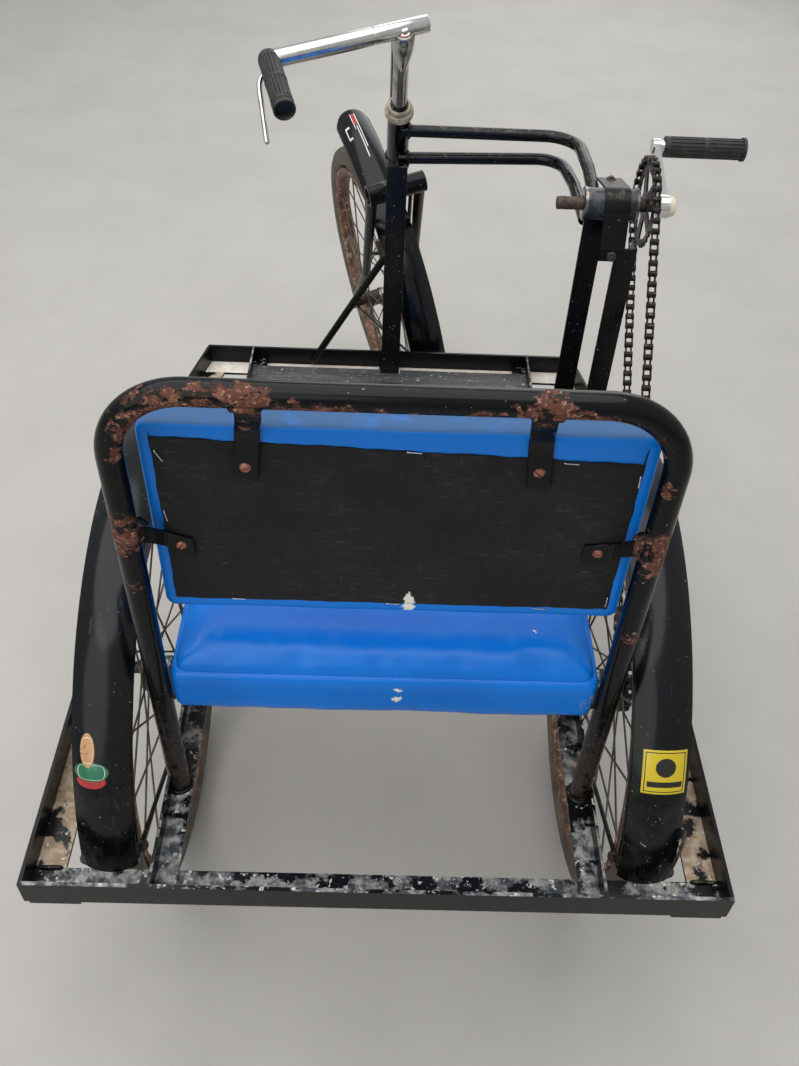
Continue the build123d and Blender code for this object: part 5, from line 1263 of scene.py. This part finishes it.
def bead(path, half, seed, closed=False, up=(0.0, 0.0, 1.0)):
    """Weld bead: a round bar whose radius ripples every 2.6 mm along the run and wanders a little, tapering
    at open ends."""
    path = smooth_line(path, 0.7, 3.0) if not closed else np.asarray(path, float)
    s = np.r_[0, np.cumsum(np.linalg.norm(np.diff(path, axis=0), axis=1))]
    radius = half * (1 + 0.16 * np.abs(np.sin(pi * s / 2.6 + seed)) + 0.12 * np.sin(s / 5.1 + 2.3 * seed))
    if not closed:
        radius = radius * np.clip(np.minimum(s, s[-1] - s) / 3.0 + 0.35, 0, 1)
    return round_bar(path, radius, 10, closed, up)


def loop_about(centre, axis, radius, steps=90, up=(0.0, 0.0, 1.0)):
    """Points of a circle about an axis."""
    _, y, z = facing(axis, up)
    t = np.arange(steps) * 2 * pi / steps
    return np.asarray(centre, float) + radius * (np.cos(t)[:, None] * y + np.sin(t)[:, None] * z)


class TRICYCLE_OT_welds(bpy.types.Operator):
    """Rippled weld beads where the frame's bars, tubes, posts and straps meet"""

    bl_idname = "tricycle.welds"
    bl_label = "Welds"

    def execute(self, context):
        half = context.scene.tricycle_sizes.weld
        painted, rusty = [], []
        for side in (-1, 1):
            foot = (side * HOOP_X, HOOP_Y, INNER_TOP + 0.5)
            painted.append(bead(loop_about(foot, (0, 0, 1), HOOP_R + 0.6, up=(0, 1, 0)), half * 0.9,
                                0.4 + side, True))
            x = side * 358.0
            painted.append(bead([(x - side * 1.0, REAR_Y + 4.5, FRAME_LOW + 5),
                                 (x - side * 1.0, REAR_Y + 4.5, FRAME_TOP - 1)], half * 0.8, 1.1,
                                up=(0, 1, 0)))
            painted.append(bead([(side * 356, REAR_Y + 34.5, 349.4), (side * 328, REAR_Y + 34.5, 349.4)],
                                half * 0.8, 2.0))
            painted.append(bead([(side * 231, REAR_Y + 4.5, 356), (side * 231, REAR_Y + 4.5, 379)],
                                half * 0.7, 0.7, up=(0, 1, 0)))
            painted.append(bead([(side * 229, REAR_Y + 34.5, 350), (side * 210, REAR_Y + 34.5, 350)],
                                half * 0.7, 0.2))
            rusty.append(bead([(side * 213.4, -222.6, 768), (side * 212.2, -222.8, 753),
                               (side * 213.2, -222.6, 738)], half, 0.9, up=(1, 0, 0)))
            rusty.append(bead([(side * 216, -224, 766), (side * 208, -215, 764), (side * 204, -210, 752)],
                              half * 0.7, 2.9, up=(0, 1, 0.3)))
        for x in (-112.0, 112.0):
            low, rear = HOOP_TOP - 8.6, HOOP_Y - 7.6
            rusty.append(bead([(x - 13, rear, low + 1.5), (x - 5, rear + 1, low), (x + 5, rear + 1, low),
                               (x + 13, rear, low + 1.5)], half * 1.1, x))
            rusty.append(bead([(x - 11, HOOP_Y + 3, HOOP_TOP - 11.4), (x + 11, HOOP_Y + 3, HOOP_TOP - 11.4)],
                              half * 0.9, x + 1))
        rear = POST_REAR
        painted.append(bead([(-15, rear - 0.3, 349.5), (15, rear - 0.3, 349.5)], half * 0.9, 0.5))
        painted.append(bead([(-15.3, rear, 349.5), (-15.3, rear + 25, 349.5)], half * 0.9, 1.5, up=(1, 0, 0)))
        for start, way in (((15.5, 604.3, 756.1), (1, -0.02, 0)), ((15.5, 616.6, 711.3), (1, -0.03, 0.04))):
            circle = loop_about(start, way, PIPE_R + 0.4)
            circle[:, 0] += 0.8 * np.cos(np.arange(90) * 4 * pi / 90)
            painted.append(bead(circle, half * 0.75, start[2], True, way))
        leg = 28.0
        for x, y in ((271.0, CRANK_Y + 15), (311.0, CRANK_Y - 20)):
            y0, y1 = y - leg / 2, y + leg / 2
            painted.append(bead([(x - leg, y0 - 0.3, INNER_TOP - 2.5), (x, y0 - 0.3, INNER_TOP - 2.5)],
                                half * 0.8, x))
            painted.append(bead([(x + 0.3, y0, INNER_TOP - 2.5), (x + 0.3, y1, INNER_TOP - 2.5)], half * 0.8,
                                x + 2, up=(1, 0, 0)))
        painted.append(bead([(250, CRANK_Y + 2, CRANK_Z - 19.5), (262, CRANK_Y + 9, CRANK_Z - 17.5),
                             (270.5, CRANK_Y + 10, CRANK_Z - 17)], half * 0.9, 1.0))
        piece("frame_welds", together(*painted), "Black enamel", "frame", sharp=60)
        piece("strap_welds", together(*rusty), "Flaked gloss enamel", "frame", sharp=60)
        return {"FINISHED"}


def guard_point(centre, axes, angle, x, out):
    """Point on a mudguard: its section is an arc that falls 9 mm from the middle to the edges, turned about
    the axle to the given angle, out millimetres off the sheet."""
    chord, drop = GUARD_HALF, 9.0
    arc_r = (chord ** 2 + drop ** 2) / (2 * drop)
    radius = GUARD_R - arc_r + np.sqrt(arc_r ** 2 - np.asarray(x, float) ** 2) + out
    around = np.cos(angle)[..., None] * axes[1] + np.sin(angle)[..., None] * axes[2]
    return centre + np.asarray(x)[..., None] * axes[0] + radius[..., None] * around


def front_skin(angle, x, out=0.0):
    """Point on the front mudguard's outer face. Its arch stands on an edge circle about the hub. Ahead of
    the crown the edge lifts off the tyre and the arch deepens, by powers of how far a point is towards the
    tip."""
    ahead = np.clip((radians(97) - angle) / radians(37), 0, 1)
    drop = 9.0 + 7.0 * ahead
    arc_r = (GUARD_HALF ** 2 + drop ** 2) / (2 * drop)
    edge = GUARD_R - 9.0 + 33.0 * ahead ** 1.35
    radius = edge + drop - arc_r + np.sqrt(np.maximum(arc_r ** 2 - np.asarray(x, float) ** 2, 0)) + out
    around = np.cos(angle)[..., None] * STEERED[1] + np.sin(angle)[..., None] * STEERED[2]
    return HUB + np.asarray(x)[..., None] * STEERED[0] + radius[..., None] * around


def film(name, finish, body, angles, span, oval, skin):
    """Sticker: a patch of a mudguard's face between two angles and two places across it, 0.3 mm thick."""
    u, v = np.meshgrid(np.linspace(0, 1, 41), np.linspace(0, 1, 41), indexing="ij")
    uv = np.stack([u, v], -1)
    if oval:
        a, b = 2 * u - 1, 2 * v - 1
        a, b = a * np.sqrt(1 - b * b / 2), b * np.sqrt(1 - a * a / 2)
        u, v = (a + 1) / 2, (b + 1) / 2
    angle = np.radians(angles[0] + (angles[1] - angles[0]) * v)
    points = skin(angle, span[0] + (span[1] - span[0]) * u).reshape(-1, 3)
    patch = piece(name, (points, [quads(41, 41)[:, ::-1]]), finish, body, mend=False,
                  uv=uv.reshape(-1, 2))
    thick = patch.modifiers.new("Thick", "SOLIDIFY")
    thick.thickness = 0.0003
    thick.offset = 0.0
    applied(patch)


class TRICYCLE_OT_front_guard(bpy.types.Operator):
    """Front mudguard, deep at its lifted tip, with its stays, crown bracket, edge beads and plain stripes"""

    bl_idname = "tricycle.front_guard"
    bl_label = "Front mudguard"

    def execute(self, context):
        theta = np.radians(np.linspace(60, 146, 144))
        q = np.concatenate([[-1, -1], np.linspace(-1, 1, 29), [1, 1]])
        hem = np.concatenate([[-5.0, -2.5], np.zeros(29), [-2.5, -5.0]])
        turn, across = np.meshgrid(theta, q, indexing="ij")
        tip = np.clip(1 - np.arange(len(theta)) / 10, 0, 1)[:, None] * radians(2.2) * np.abs(q) ** 4
        points = front_skin(turn + tip, across * GUARD_HALF, hem - 1.0)
        guard = piece("front_guard_sheet", (points.reshape(-1, 3), [quads(len(theta), len(q))]),
                      "Stoved gloss enamel", "steering", ("front_mudguard",))
        thick = guard.modifiers.new("Sheet", "SOLIDIFY")
        thick.thickness = 0.002
        thick.offset = 0.0
        applied(guard)
        guard.data.shade_smooth()
        guard.data.set_sharp_from_angle(angle=radians(40))
        t = theta[8:]
        beads = []
        for side in (-1, 1):
            path = front_skin(t, np.full(len(t), side * GUARD_HALF), -4.6)
            beads.append(round_bar(path, 1.5, 8, up=tuple(SIDE)))
        way = np.cos(radians(138)) * STEERED[1] + np.sin(radians(138)) * STEERED[2]
        for side in (-1, 1):
            eye = HUB + side * 55.0 * SIDE
            foot = eye + side * 2.8 * SIDE + way * 9.8
            top = HUB + side * 28.0 * SIDE + way * (GUARD_R - 11.5)
            beads.append(round_bar([foot, (foot + top) / 2, top], 2.5, 12, up=tuple(SIDE)))
            ring = [(-1.5, 5.2), (-1.5, 10.6), (-1.1, 11), (1.1, 11), (1.5, 10.6), (1.5, 5.2), (-1.5, 5.2)]
            beads.append(turned(ring, 36, STEERED, eye))
        piece("front_guard_stays", together(*beads), "Stoved gloss enamel", "steering")
        # Bracket from the sheet's top up to the fork crown
        foot = HEAD_TOP - UP * 285.0
        plate = strip([foot, foot + UP * 44, foot + UP * 88.0], SIDE, 20.0, 3.0)
        piece("front_guard_bracket", plate, "Black enamel", "steering")
        stripes = (
            # name, finish, angles in degrees, x from and to
            ("red_stripe", "Red film", (62.0, 66.4), (-2.6, 2.6)),
            ("white_stripe_left", "White film", (62.0, 68.0), (-4.4, -3.2)),
            ("white_stripe_right", "White film", (62.0, 74.5), (3.2, 4.6)),
            ("white_stripe_middle", "White film", (66.8, 78.0), (-0.8, 0.8)),
            ("white_corner_side", "White film", (66.0, 70.6), (-20.5, -19.0)),
            ("white_corner_top", "White film", (66.0, 66.7), (-18.9, -13.0)),
            ("white_corner_foot", "White film", (69.9, 70.6), (-18.9, -14.0)),
        )
        for name, finish, angles, span in stripes:
            film(name, finish, "steering", angles, span, False, lambda angle, x: front_skin(angle, x, 0.25))
        return {"FINISHED"}


class TRICYCLE_OT_guard_trim(bpy.types.Operator):
    """Rear mudguard trim: rolled edge beads, wordless stickers and a wire hook on a stay"""

    bl_idname = "tricycle.guard_trim"
    bl_label = "Mudguard trim"

    def execute(self, context):
        rear = {side: np.array([side * TRACK, GUARD_Y, GUARD_Z]) for side in (-1, 1)}
        start = np.arcsin((FRAME_LOW + 6 - GUARD_Z) / GUARD_R) + 0.02
        t = np.linspace(start, pi - start, 150)
        edge = GUARD_R - 9.0 - 4.6
        arc = edge * np.stack([0 * t, np.cos(t), np.sin(t)], -1)
        for name, centre in (("left", rear[-1]), ("right", rear[1])):
            beads = [round_bar(centre + arc + (side * (GUARD_HALF - 0.2), 0, 0), 1.5, 8, up=(1.0, 0.0, 0.0))
                     for side in (-1, 1)]
            piece(f"{name}_guard_beads", together(*beads), "Stoved gloss enamel", "frame")
        films = (
            # name, finish, side, angles in degrees, x from and to, oval, millimetres off the sheet
            ("yellow_label", "Yellow film", 1, (141.8, 149.8), (-20.0, 25.0), False, 0.25),
            ("yellow_label_disc", "Black print", 1, (143.2, 146.6), (-7.5, 13.0), True, 0.45),
            ("yellow_label_bar", "Black print", 1, (147.5, 148.5), (-15.0, 21.0), False, 0.45),
            ("figure_label_top", "Cream film", -1, (141.4, 147.6), (-19.0, -4.0), True, 0.4),
            ("figure_label_green", "Green film", -1, (146.6, 150.2), (-26.0, 9.5), True, 0.3),
            ("figure_label_red", "Red film", -1, (148.8, 151.5), (-23.5, 6.5), True, 0.2),
        )
        for name, finish, side, angles, span, oval, out in films:
            film(name, finish, "frame", angles, span, oval,
                 lambda angle, x: guard_point(rear[side], SQUARE, angle, x, out))
        hook = smooth_line([(308, -302, 352), (308, -303, 392), (309, -300, 408), (312, -292, 413),
                            (314, -286, 408), (313, -288, 400)], 1.5, 4.0)
        piece("stay_hook", round_bar(hook, 1.8, 8, up=(1.0, 0.2, 0.0)), "Rusty steel", "frame")
        return {"FINISHED"}


class TRICYCLE_OT_crank_trim(bpy.types.Operator):
    """Crank trim: cream cap, grooved spindle end and the rings at both ends of the bracket"""

    bl_idname = "tricycle.crank_trim"
    bl_label = "Crank trim"

    def execute(self, context):
        axis = (0.0, CRANK_Y, CRANK_Z)
        arm = 346.0
        cap = turned([(arm - 0.2, 11.0), (arm - 0.2, 12.6), (arm + 4.5, 12.8), (arm + 7.6, 12.0),
                      (arm + 9.2, 10.2), (arm + 10.0, 6.5), (arm + 10.2, 0)], 40, centre=axis)
        piece("crank_cap", cap, "Cream polythene", "crank")
        start = BRACKET_LEFT - 34.0
        rows = [(start - 0.6, 0), (start - 0.6, 5.6), (start + 0.6, 7.2), (start + 2.0, 8.2)]
        for k in range(3):
            x = start + 3.0 + k * 5.2
            rows += [(x, 8.3), (x + 1.9, 8.3), (x + 2.3, 7.0), (x + 3.9, 7.0), (x + 4.3, 8.3)]
        rows += [(start + 19.5, 8.3), (start + 20, 8.02)]
        piece("spindle_grooves", turned(rows, 40, centre=axis), "Rusty steel", "crank")
        for name, x, out in (("left", BRACKET_LEFT, -1), ("right", BRACKET_RIGHT, 1)):
            ring = turned([(x - out * 3.0, 20.3), (x - out * 3.0, 20.9), (x + out * 0.4, 20.9),
                           (x + out * 1.3, 19.6), (x + out * 1.3, 10.5), (x - out * 0.5, 9.6)], 48,
                          centre=axis)
            piece(f"{name}_bracket_ring", ring, "Worn plate", "frame")
        return {"FINISHED"}


def steered(points):
    """Points along the bar, ahead of the steering axis and up along it, as places of the vehicle."""
    return HEAD_TOP + np.asarray(points, float) @ STEERED


class TRICYCLE_OT_controls(bpy.types.Operator):
    """Stem, handlebar, fluted grip, brake lever, rod and stirrup, and the headset's cup and nut"""

    bl_idname = "tricycle.controls"
    bl_label = "Handlebar and brake"

    def execute(self, context):
        cup = turned([(-8.5, 16.5), (-8.2, 19.8), (-6.8, 20.4), (-1.4, 20.4), (-0.2, 19.6), (1.6, 19.8),
                      (2.8, 18.6), (3.0, 13.2), (-8.5, 16.5)], 48, HEAD_AXES, HEAD_TOP)
        nut_ring = turned([(3.7, 12.6), (3.7, 16.6), (4.6, 17.2), (9.0, 17.0), (10.2, 15.6), (10.4, 11.3),
                           (3.7, 12.6)], 40, HEAD_AXES, HEAD_TOP)
        piece("head_cup", cup, "Dusty bearing cup", "frame")
        piece("head_locknut", nut_ring, "Dusty bearing cup", "steering")
        quill = turned([(9.0, 0), (9.0, 10.4), (92, 10.4), (104, 10.9), (118, 12.0), (130, 12.2),
                        (138, 11.0), (138, 0)], 48, HEAD_AXES, HEAD_TOP)
        back = HEAD_TOP - 6.0 * STEERED[1]
        head = turned([(84, 0), (86, 5.5), (98, 8.6), (110, 11.0), (121, 12.9), (131, 13.8), (145, 13.8),
                       (148.6, 13.1), (150, 11.8), (150, 0)], 48, HEAD_AXES, back)
        piece("stem_quill", together(quill, head), "Chromium plate painted dark for reflection", "steering", ("stem",),
              sharp=50)
        ring = turned([(149.6, 7.6), (149.6, 9.8), (150.6, 10.2), (151.2, 9.4), (151.2, 7.6), (149.6, 7.6)],
                      40, HEAD_AXES, back)
        head = turned([(150.2, 0), (150.2, 7.9), (150.9, 7.9), (151.2, 7.2), (151.2, 5.6), (154.8, 5.4),
                       (156.0, 4.4), (156.4, 0)], 24, HEAD_AXES, back)
        piece("stem_washer", ring, "Coppery rusted steel", "steering")
        piece("stem_bolt", head, "Chromium plate", "steering")
        left, right = steered(BAR_LEFT), steered(BAR_RIGHT)
        length = float(np.linalg.norm(right - left))
        cut = length * 0.644
        bar = turned([(-9, 0), (-7, 6), (-3.5, 9.8), (0, 11.1), (cut, 11.1), (cut + 0.2, 9.6),
                      (cut + 2.2, 9.6), (cut + 2.5, 10.8), (length - 1.0, 10.8), (length - 0.2, 10.2),
                      (length, 9.4), (length - 14, 9.2), (length - 14, 0)], 48, facing(right - left), left)
        piece("bar_tube", bar, "Chromium plate", "steering", ("handlebar",), sharp=40)
        way = np.array([-0.078, -0.955, 0.287]) @ STEERED
        rows = [(-12.6, 0, 0), (-11.6, 5.2, 0), (-8.8, 9.8, 0), (-4.4, 12.9, 0), (0, 13.6, 0), (5, 13.8, 0),
                (6, 13.5, 1), (44, 13.5, 1), (45, 13.9, 0), (50, 13.9, 0), (51, 13.5, 1), (88, 13.5, 1),
                (89, 13.9, 0), (90, 13.1, 0), (91.4, 13.1, 0), (92, 13.8, 0), (95, 13.8, 0), (95.6, 13.1, 0),
                (97, 13.1, 0), (98, 13.8, 0), (102.6, 13.9, 0), (103.8, 13.4, 0), (104.2, 12.2, 0),
                (103.2, 11.2, 0), (99.5, 10.6, 0), (94.0, 9.6, 0), (94.0, 0, 0)]
        grip = turned(rows, 216, facing(way), left, shape=lambda t: 1 - 0.10 * np.clip(np.cos(18 * t), 0, 1))
        piece("bar_grip", grip, "Grip rubber", "steering", ("handlebar_grip",), sharp=40)
        lever = smooth_line([(-146, 478, 877), (-166, 471, 877), (-175, 461, 869), (-174.3, 452, 861),
                             (-171, 438, 850), (-160.4, 385, 822.9)], 1.5, 6.0)
        pad = turned([(-5, 3.4), (-5, 5.2), (4, 5.2), (4, 3.4)], 20, facing((-20, -7, 0)), (-156, 474.5, 877))
        piece("lever_rod", together(pill(lever, 3.6), pad), "Chromium plate", "steering",
              ("brake_lever",), sharp=60)
        rod = steered([(-150, 12, 140), (-30, 13, 138.0), (-6, 22, 130), (-3, 24, 112), (-3, 24, -150),
                       (-2, 23, -200), (0, 21.5, -230)])
        yoke = steered([(-16, 21.5, -393.4), (-34.5, 21.5, -393.4), (-34.5, 21.5, -232), (34.5, 21.5, -232),
                        (34.5, 21.5, -393.4), (16, 21.5, -393.4)])
        parts = [
            pill(smooth_line(rod, 2.0, 8.0), 2.6, up=(1.0, 0.0, 0.1)),
            pill(bent_line(yoke, 12.0, 2.0), 3.5, up=tuple(STEERED[1])),
        ]
        lean = radians(8.7)
        block = np.array([(-19, -5.5), (19, -5.5), (20, -4.5), (20, 4.5), (19, 5.5), (-19, 5.5), (-20, 4.5),
                          (-20, -4.5)])
        block = block @ np.array([[np.cos(lean), np.sin(lean)], [-np.sin(lean), np.cos(lean)]])
        for side in (-1, 1):
            parts.append(copies(*slab(block, 10.0), [steered((side * 16.0, 21.5, -393.4))], STEERED))
        piece("brake_rods", together(*parts), "Worn plate", "steering", ("brake_linkage",),
              sharp=40)
        return {"FINISHED"}


class TRICYCLE_OT_hoop(bpy.types.Operator):
    """Backrest hoop of seven-eighths-inch tube with its four flat straps"""

    bl_idname = "tricycle.hoop"
    bl_label = "Backrest hoop"

    def execute(self, context):
        corners = [(-HOOP_X, HOOP_Y, INNER_TOP), (-HOOP_X, HOOP_Y, HOOP_TOP), (HOOP_X, HOOP_Y, HOOP_TOP),
                   (HOOP_X, HOOP_Y, INNER_TOP)]
        parts = [round_bar(bent_line(corners, HOOP_BEND), HOOP_R, 32, up=(0, 1, 0))]
        rear = HOOP_Y - 5
        for x, foot, lean in ((-111.0, -121.0, -0.1), (111.0, 119.5, 0.085)):
            run = [(x, rear, HOOP_TOP - 6), (x * 0.98 + foot * 0.02, rear + 3, HOOP_TOP - 22),
                   (x * 0.5 + foot * 0.5, -196.5, 848), (x * 0.4 + foot * 0.6, -193.2, 836),
                   (foot, -193.0, 793)]
            parts.append(strip(smooth_line(run, 2.0, 6.0), unit((1, 0, lean)), 20.3, 3.0))
        left = [(-216, -222, 754), (-204, -210, 740), (-192, -196, 722), (-184, -193.2, 715),
                (-172, -193, 711)]
        right = [(216, -222, 755), (205, -211, 742), (193, -197, 724.5), (185, -193.2, 719.5),
                 (169, -193, 716.5)]
        parts += [strip(smooth_line(run, 2.0, 6.0), (0, 0, 1), 19.0, 3.0) for run in (left, right)]
        piece("hoop_tube", together(*parts), "Flaked gloss enamel", "frame",
              ("backrest_tube",), sharp=32)
        return {"FINISHED"}


class TRICYCLE_OT_head_frame(bpy.types.Operator):
    """Head post of angle iron under the head tube, its web and brace, and the two pipes to the crank"""

    bl_idname = "tricycle.head_frame"
    bl_label = "Head frame"

    def execute(self, context):
        rear = POST_REAR
        angle = [(-15, rear), (15, rear), (15, rear + 3), (-12, rear + 3), (-12, rear + 26), (-15, rear + 26)]
        low = 349.0
        upright = np.array([(0, 0, 1), (1, 0, 0), (0, 1, 0)])
        post = copies(*slab(angle, POST_TOP - low), [(0, 0, (POST_TOP + low) / 2)], upright)
        web = slab([(rear + 3, 708), (rear + 3, 610), (641, 676), (642, 688), (624, 716)], 3.0)
        iron = piece("post_iron", together(post, web), "Black enamel", "frame",
                     ("head_post",))
        bevelled(iron, 0.5)
        brace = pill(smooth_line([(-11, 596, 567), (-60, 600, 482), (-133, 606, 354.5)], 2.0, 5.0), 5.8,
                     up=(0, 1, 0))
        piece("post_brace", brace, "Black enamel", "frame")
        upper = bent_line([(4, 604.5, 756), (253, 599.6, 758), (257, 500, 758), (257, 428, 751)], 48.0)
        lower = bent_line([(2, 617, 710.7), (236, 610.5, 720.5), (247, 530, 720), (249, 428, 719.6)], 42.0)
        piece("upper_pipe", round_bar(upper, PIPE_R, 24), "Pipe enamel", "frame",
              ("upper_stay",))
        piece("lower_pipe", round_bar(lower, PIPE_R, 24), "Pipe enamel", "frame",
              ("lower_stay",))
        return {"FINISHED"}


class TRICYCLE_OT_stage(bpy.types.Operator):
    """Floor, soft lights, pale surroundings and the camera at the photographed angle"""

    bl_idname = "tricycle.stage"
    bl_label = "Stage"

    def execute(self, context):
        scene = context.scene
        colours = scene.tricycle_colours
        # Fine screeded floor: pale, matt, faintly clouded
        tree, shader, at = started("Pale screed floor")
        cloud = blotches(tree, at.outputs["Object"], 260.0, 0.35, 0.7, 6.0)
        colour = coats(tree, colours.floor, (cloud, "B3B0AA"))
        dress(tree, shader, colour, 0.8, cloud, 0.4, 0.2)
        grid = np.linspace(-9000, 9000, 5)
        x, y = np.meshgrid(grid, grid, indexing="ij")
        mesh = bpy.data.meshes.new("floor")
        points = np.stack([x, y, x * 0], -1).reshape(-1, 3) * 0.001
        mesh.from_pydata(points.tolist(), [], quads(5, 5).tolist())
        mesh.materials.append(FINISHES["Pale screed floor"])
        floor = bpy.data.objects.new("floor", mesh)
        scene.collection.objects.link(floor)
        lamps = (
            # name, place, aim, size, power
            ("Overhead softbox", (-0.6, -0.3, 3.4), (0, 0, 0.3), 4.4, 96.0),
            ("Front window", (0.8, 3.4, 2.2), (0, 0.2, 0.4), 3.2, 40.0),
            ("Rear fill", (-1.6, -3.0, 2.2), (0, -0.2, 0.5), 3.4, 34.0),
        )
        for name, at_point, aim, size, power in lamps:
            lamp = bpy.data.lights.new(name, "AREA")
            lamp.shape = "DISK"
            lamp.size = size
            lamp.energy = power
            holder = bpy.data.objects.new(name, lamp)
            axes = facing(np.array(at_point) - np.array(aim), (0.0, 1.0, 0.1))
            turn = Matrix(np.array([axes[1], axes[2], axes[0]]).T.tolist()).to_4x4()
            holder.matrix_world = Matrix.Translation(at_point) @ turn
            scene.collection.objects.link(holder)
        world = bpy.data.worlds.new("Pale surroundings")
        world.use_nodes = True
        tree = world.node_tree
        tree.nodes.clear()
        rays = add(tree, "LightPath")
        seen = add(tree, "Math", {0: rays.outputs["Is Camera Ray"], 1: rays.outputs["Is Glossy Ray"]},
                   operation="MAXIMUM")
        seen = add(tree, "Math", {0: seen.outputs[0], 1: rays.outputs["Is Transmission Ray"]},
                   operation="MAXIMUM")
        ray = add(tree, "TexCoord")
        split = add(tree, "SeparateXYZ", {0: ray.outputs["Generated"]})
        cut = {"Value": split.outputs[2], "From Min": -0.1, "From Max": 0.8}
        rise = add(tree, "MapRange", cut).outputs[0]
        shade = add(tree, "Mix", {0: rise, 6: linear("B0AEAA"), 7: linear("C9CED3")},
                    data_type="RGBA").outputs[2]
        soft = add(tree, "Background", {"Color": linear("E9EBEE"), "Strength": 0.55})
        shown = add(tree, "Background", {"Color": shade, "Strength": 1.0})
        both = add(tree, "MixShader", {0: seen.outputs[0], 1: soft.outputs[0], 2: shown.outputs[0]})
        add(tree, "OutputWorld", {"Surface": both.outputs[0]})
        scene.world = world
        scene.view_settings.view_transform = "Standard"
        # Camera fitted to the photo: its turns in radians, its place in millimetres, its focal length and the
        # frame's height in pixels
        yaw, pitch, roll = -0.02935, 0.77215, -0.05084
        eye = (-10.96, -808.971, 1334.616)
        focal, tall = 996.759, 1066
        ahead = np.array([-np.sin(yaw) * np.cos(pitch), np.cos(yaw) * np.cos(pitch), -np.sin(pitch)])
        right = np.array([np.cos(yaw), np.sin(yaw), 0.0])
        down = np.cross(ahead, right)
        c, s = np.cos(roll), np.sin(roll)
        right, down = c * right + s * down, c * down - s * right
        turn = Matrix(np.array([right, -down, -ahead]).T.tolist()).to_4x4()
        camera = bpy.data.cameras.new("Camera")
        camera.sensor_fit = "AUTO"
        camera.sensor_width = 36.0
        camera.lens = focal / tall * camera.sensor_width
        holder = bpy.data.objects.new("Camera", camera)
        holder.matrix_world = Matrix.Translation(place(eye).tolist()) @ turn
        scene.collection.objects.link(holder)
        scene.camera = holder
        return {"FINISHED"}


STEPS = (
    TRICYCLE_OT_finishes,
    TRICYCLE_OT_stage,
    TRICYCLE_OT_tyres,
    TRICYCLE_OT_wheel_fittings,
    TRICYCLE_OT_chain,
    TRICYCLE_OT_seat,
    TRICYCLE_OT_backrest,
    TRICYCLE_OT_hoop,
    TRICYCLE_OT_head_frame,
    TRICYCLE_OT_controls,
    TRICYCLE_OT_front_guard,
    TRICYCLE_OT_fasteners,
    TRICYCLE_OT_welds,
    TRICYCLE_OT_guard_trim,
    TRICYCLE_OT_crank_trim,
)


class TRICYCLE_PT_panel(bpy.types.Panel):
    """Sizes, colours and pieces of the tricycle"""

    bl_idname = "TRICYCLE_PT_panel"
    bl_label = "Tricycle"
    bl_space_type = "VIEW_3D"
    bl_region_type = "UI"
    bl_category = "Tricycle"

    def draw(self, context):
        scene = context.scene
        for group in (scene.tricycle_colours, scene.tricycle_sizes):
            box = self.layout.box()
            for name in group.__annotations__:
                box.prop(group, name)
        for step in STEPS:
            self.layout.operator(step.bl_idname)


CLASSES = (TricycleColours, TricycleSizes, *STEPS, TRICYCLE_PT_panel)


def register():
    for cls in CLASSES:
        bpy.utils.register_class(cls)
    bpy.types.Scene.tricycle_colours = bpy.props.PointerProperty(type=TricycleColours)
    bpy.types.Scene.tricycle_sizes = bpy.props.PointerProperty(type=TricycleSizes)


def unregister():
    del bpy.types.Scene.tricycle_sizes
    del bpy.types.Scene.tricycle_colours
    for cls in reversed(CLASSES):
        bpy.utils.unregister_class(cls)


def main():
    """Registers the classes and runs the steps in order."""
    register()
    for step in STEPS:
        group, name = step.bl_idname.split(".")
        getattr(getattr(bpy.ops, group), name)()


if __name__ == "__main__":
    main()
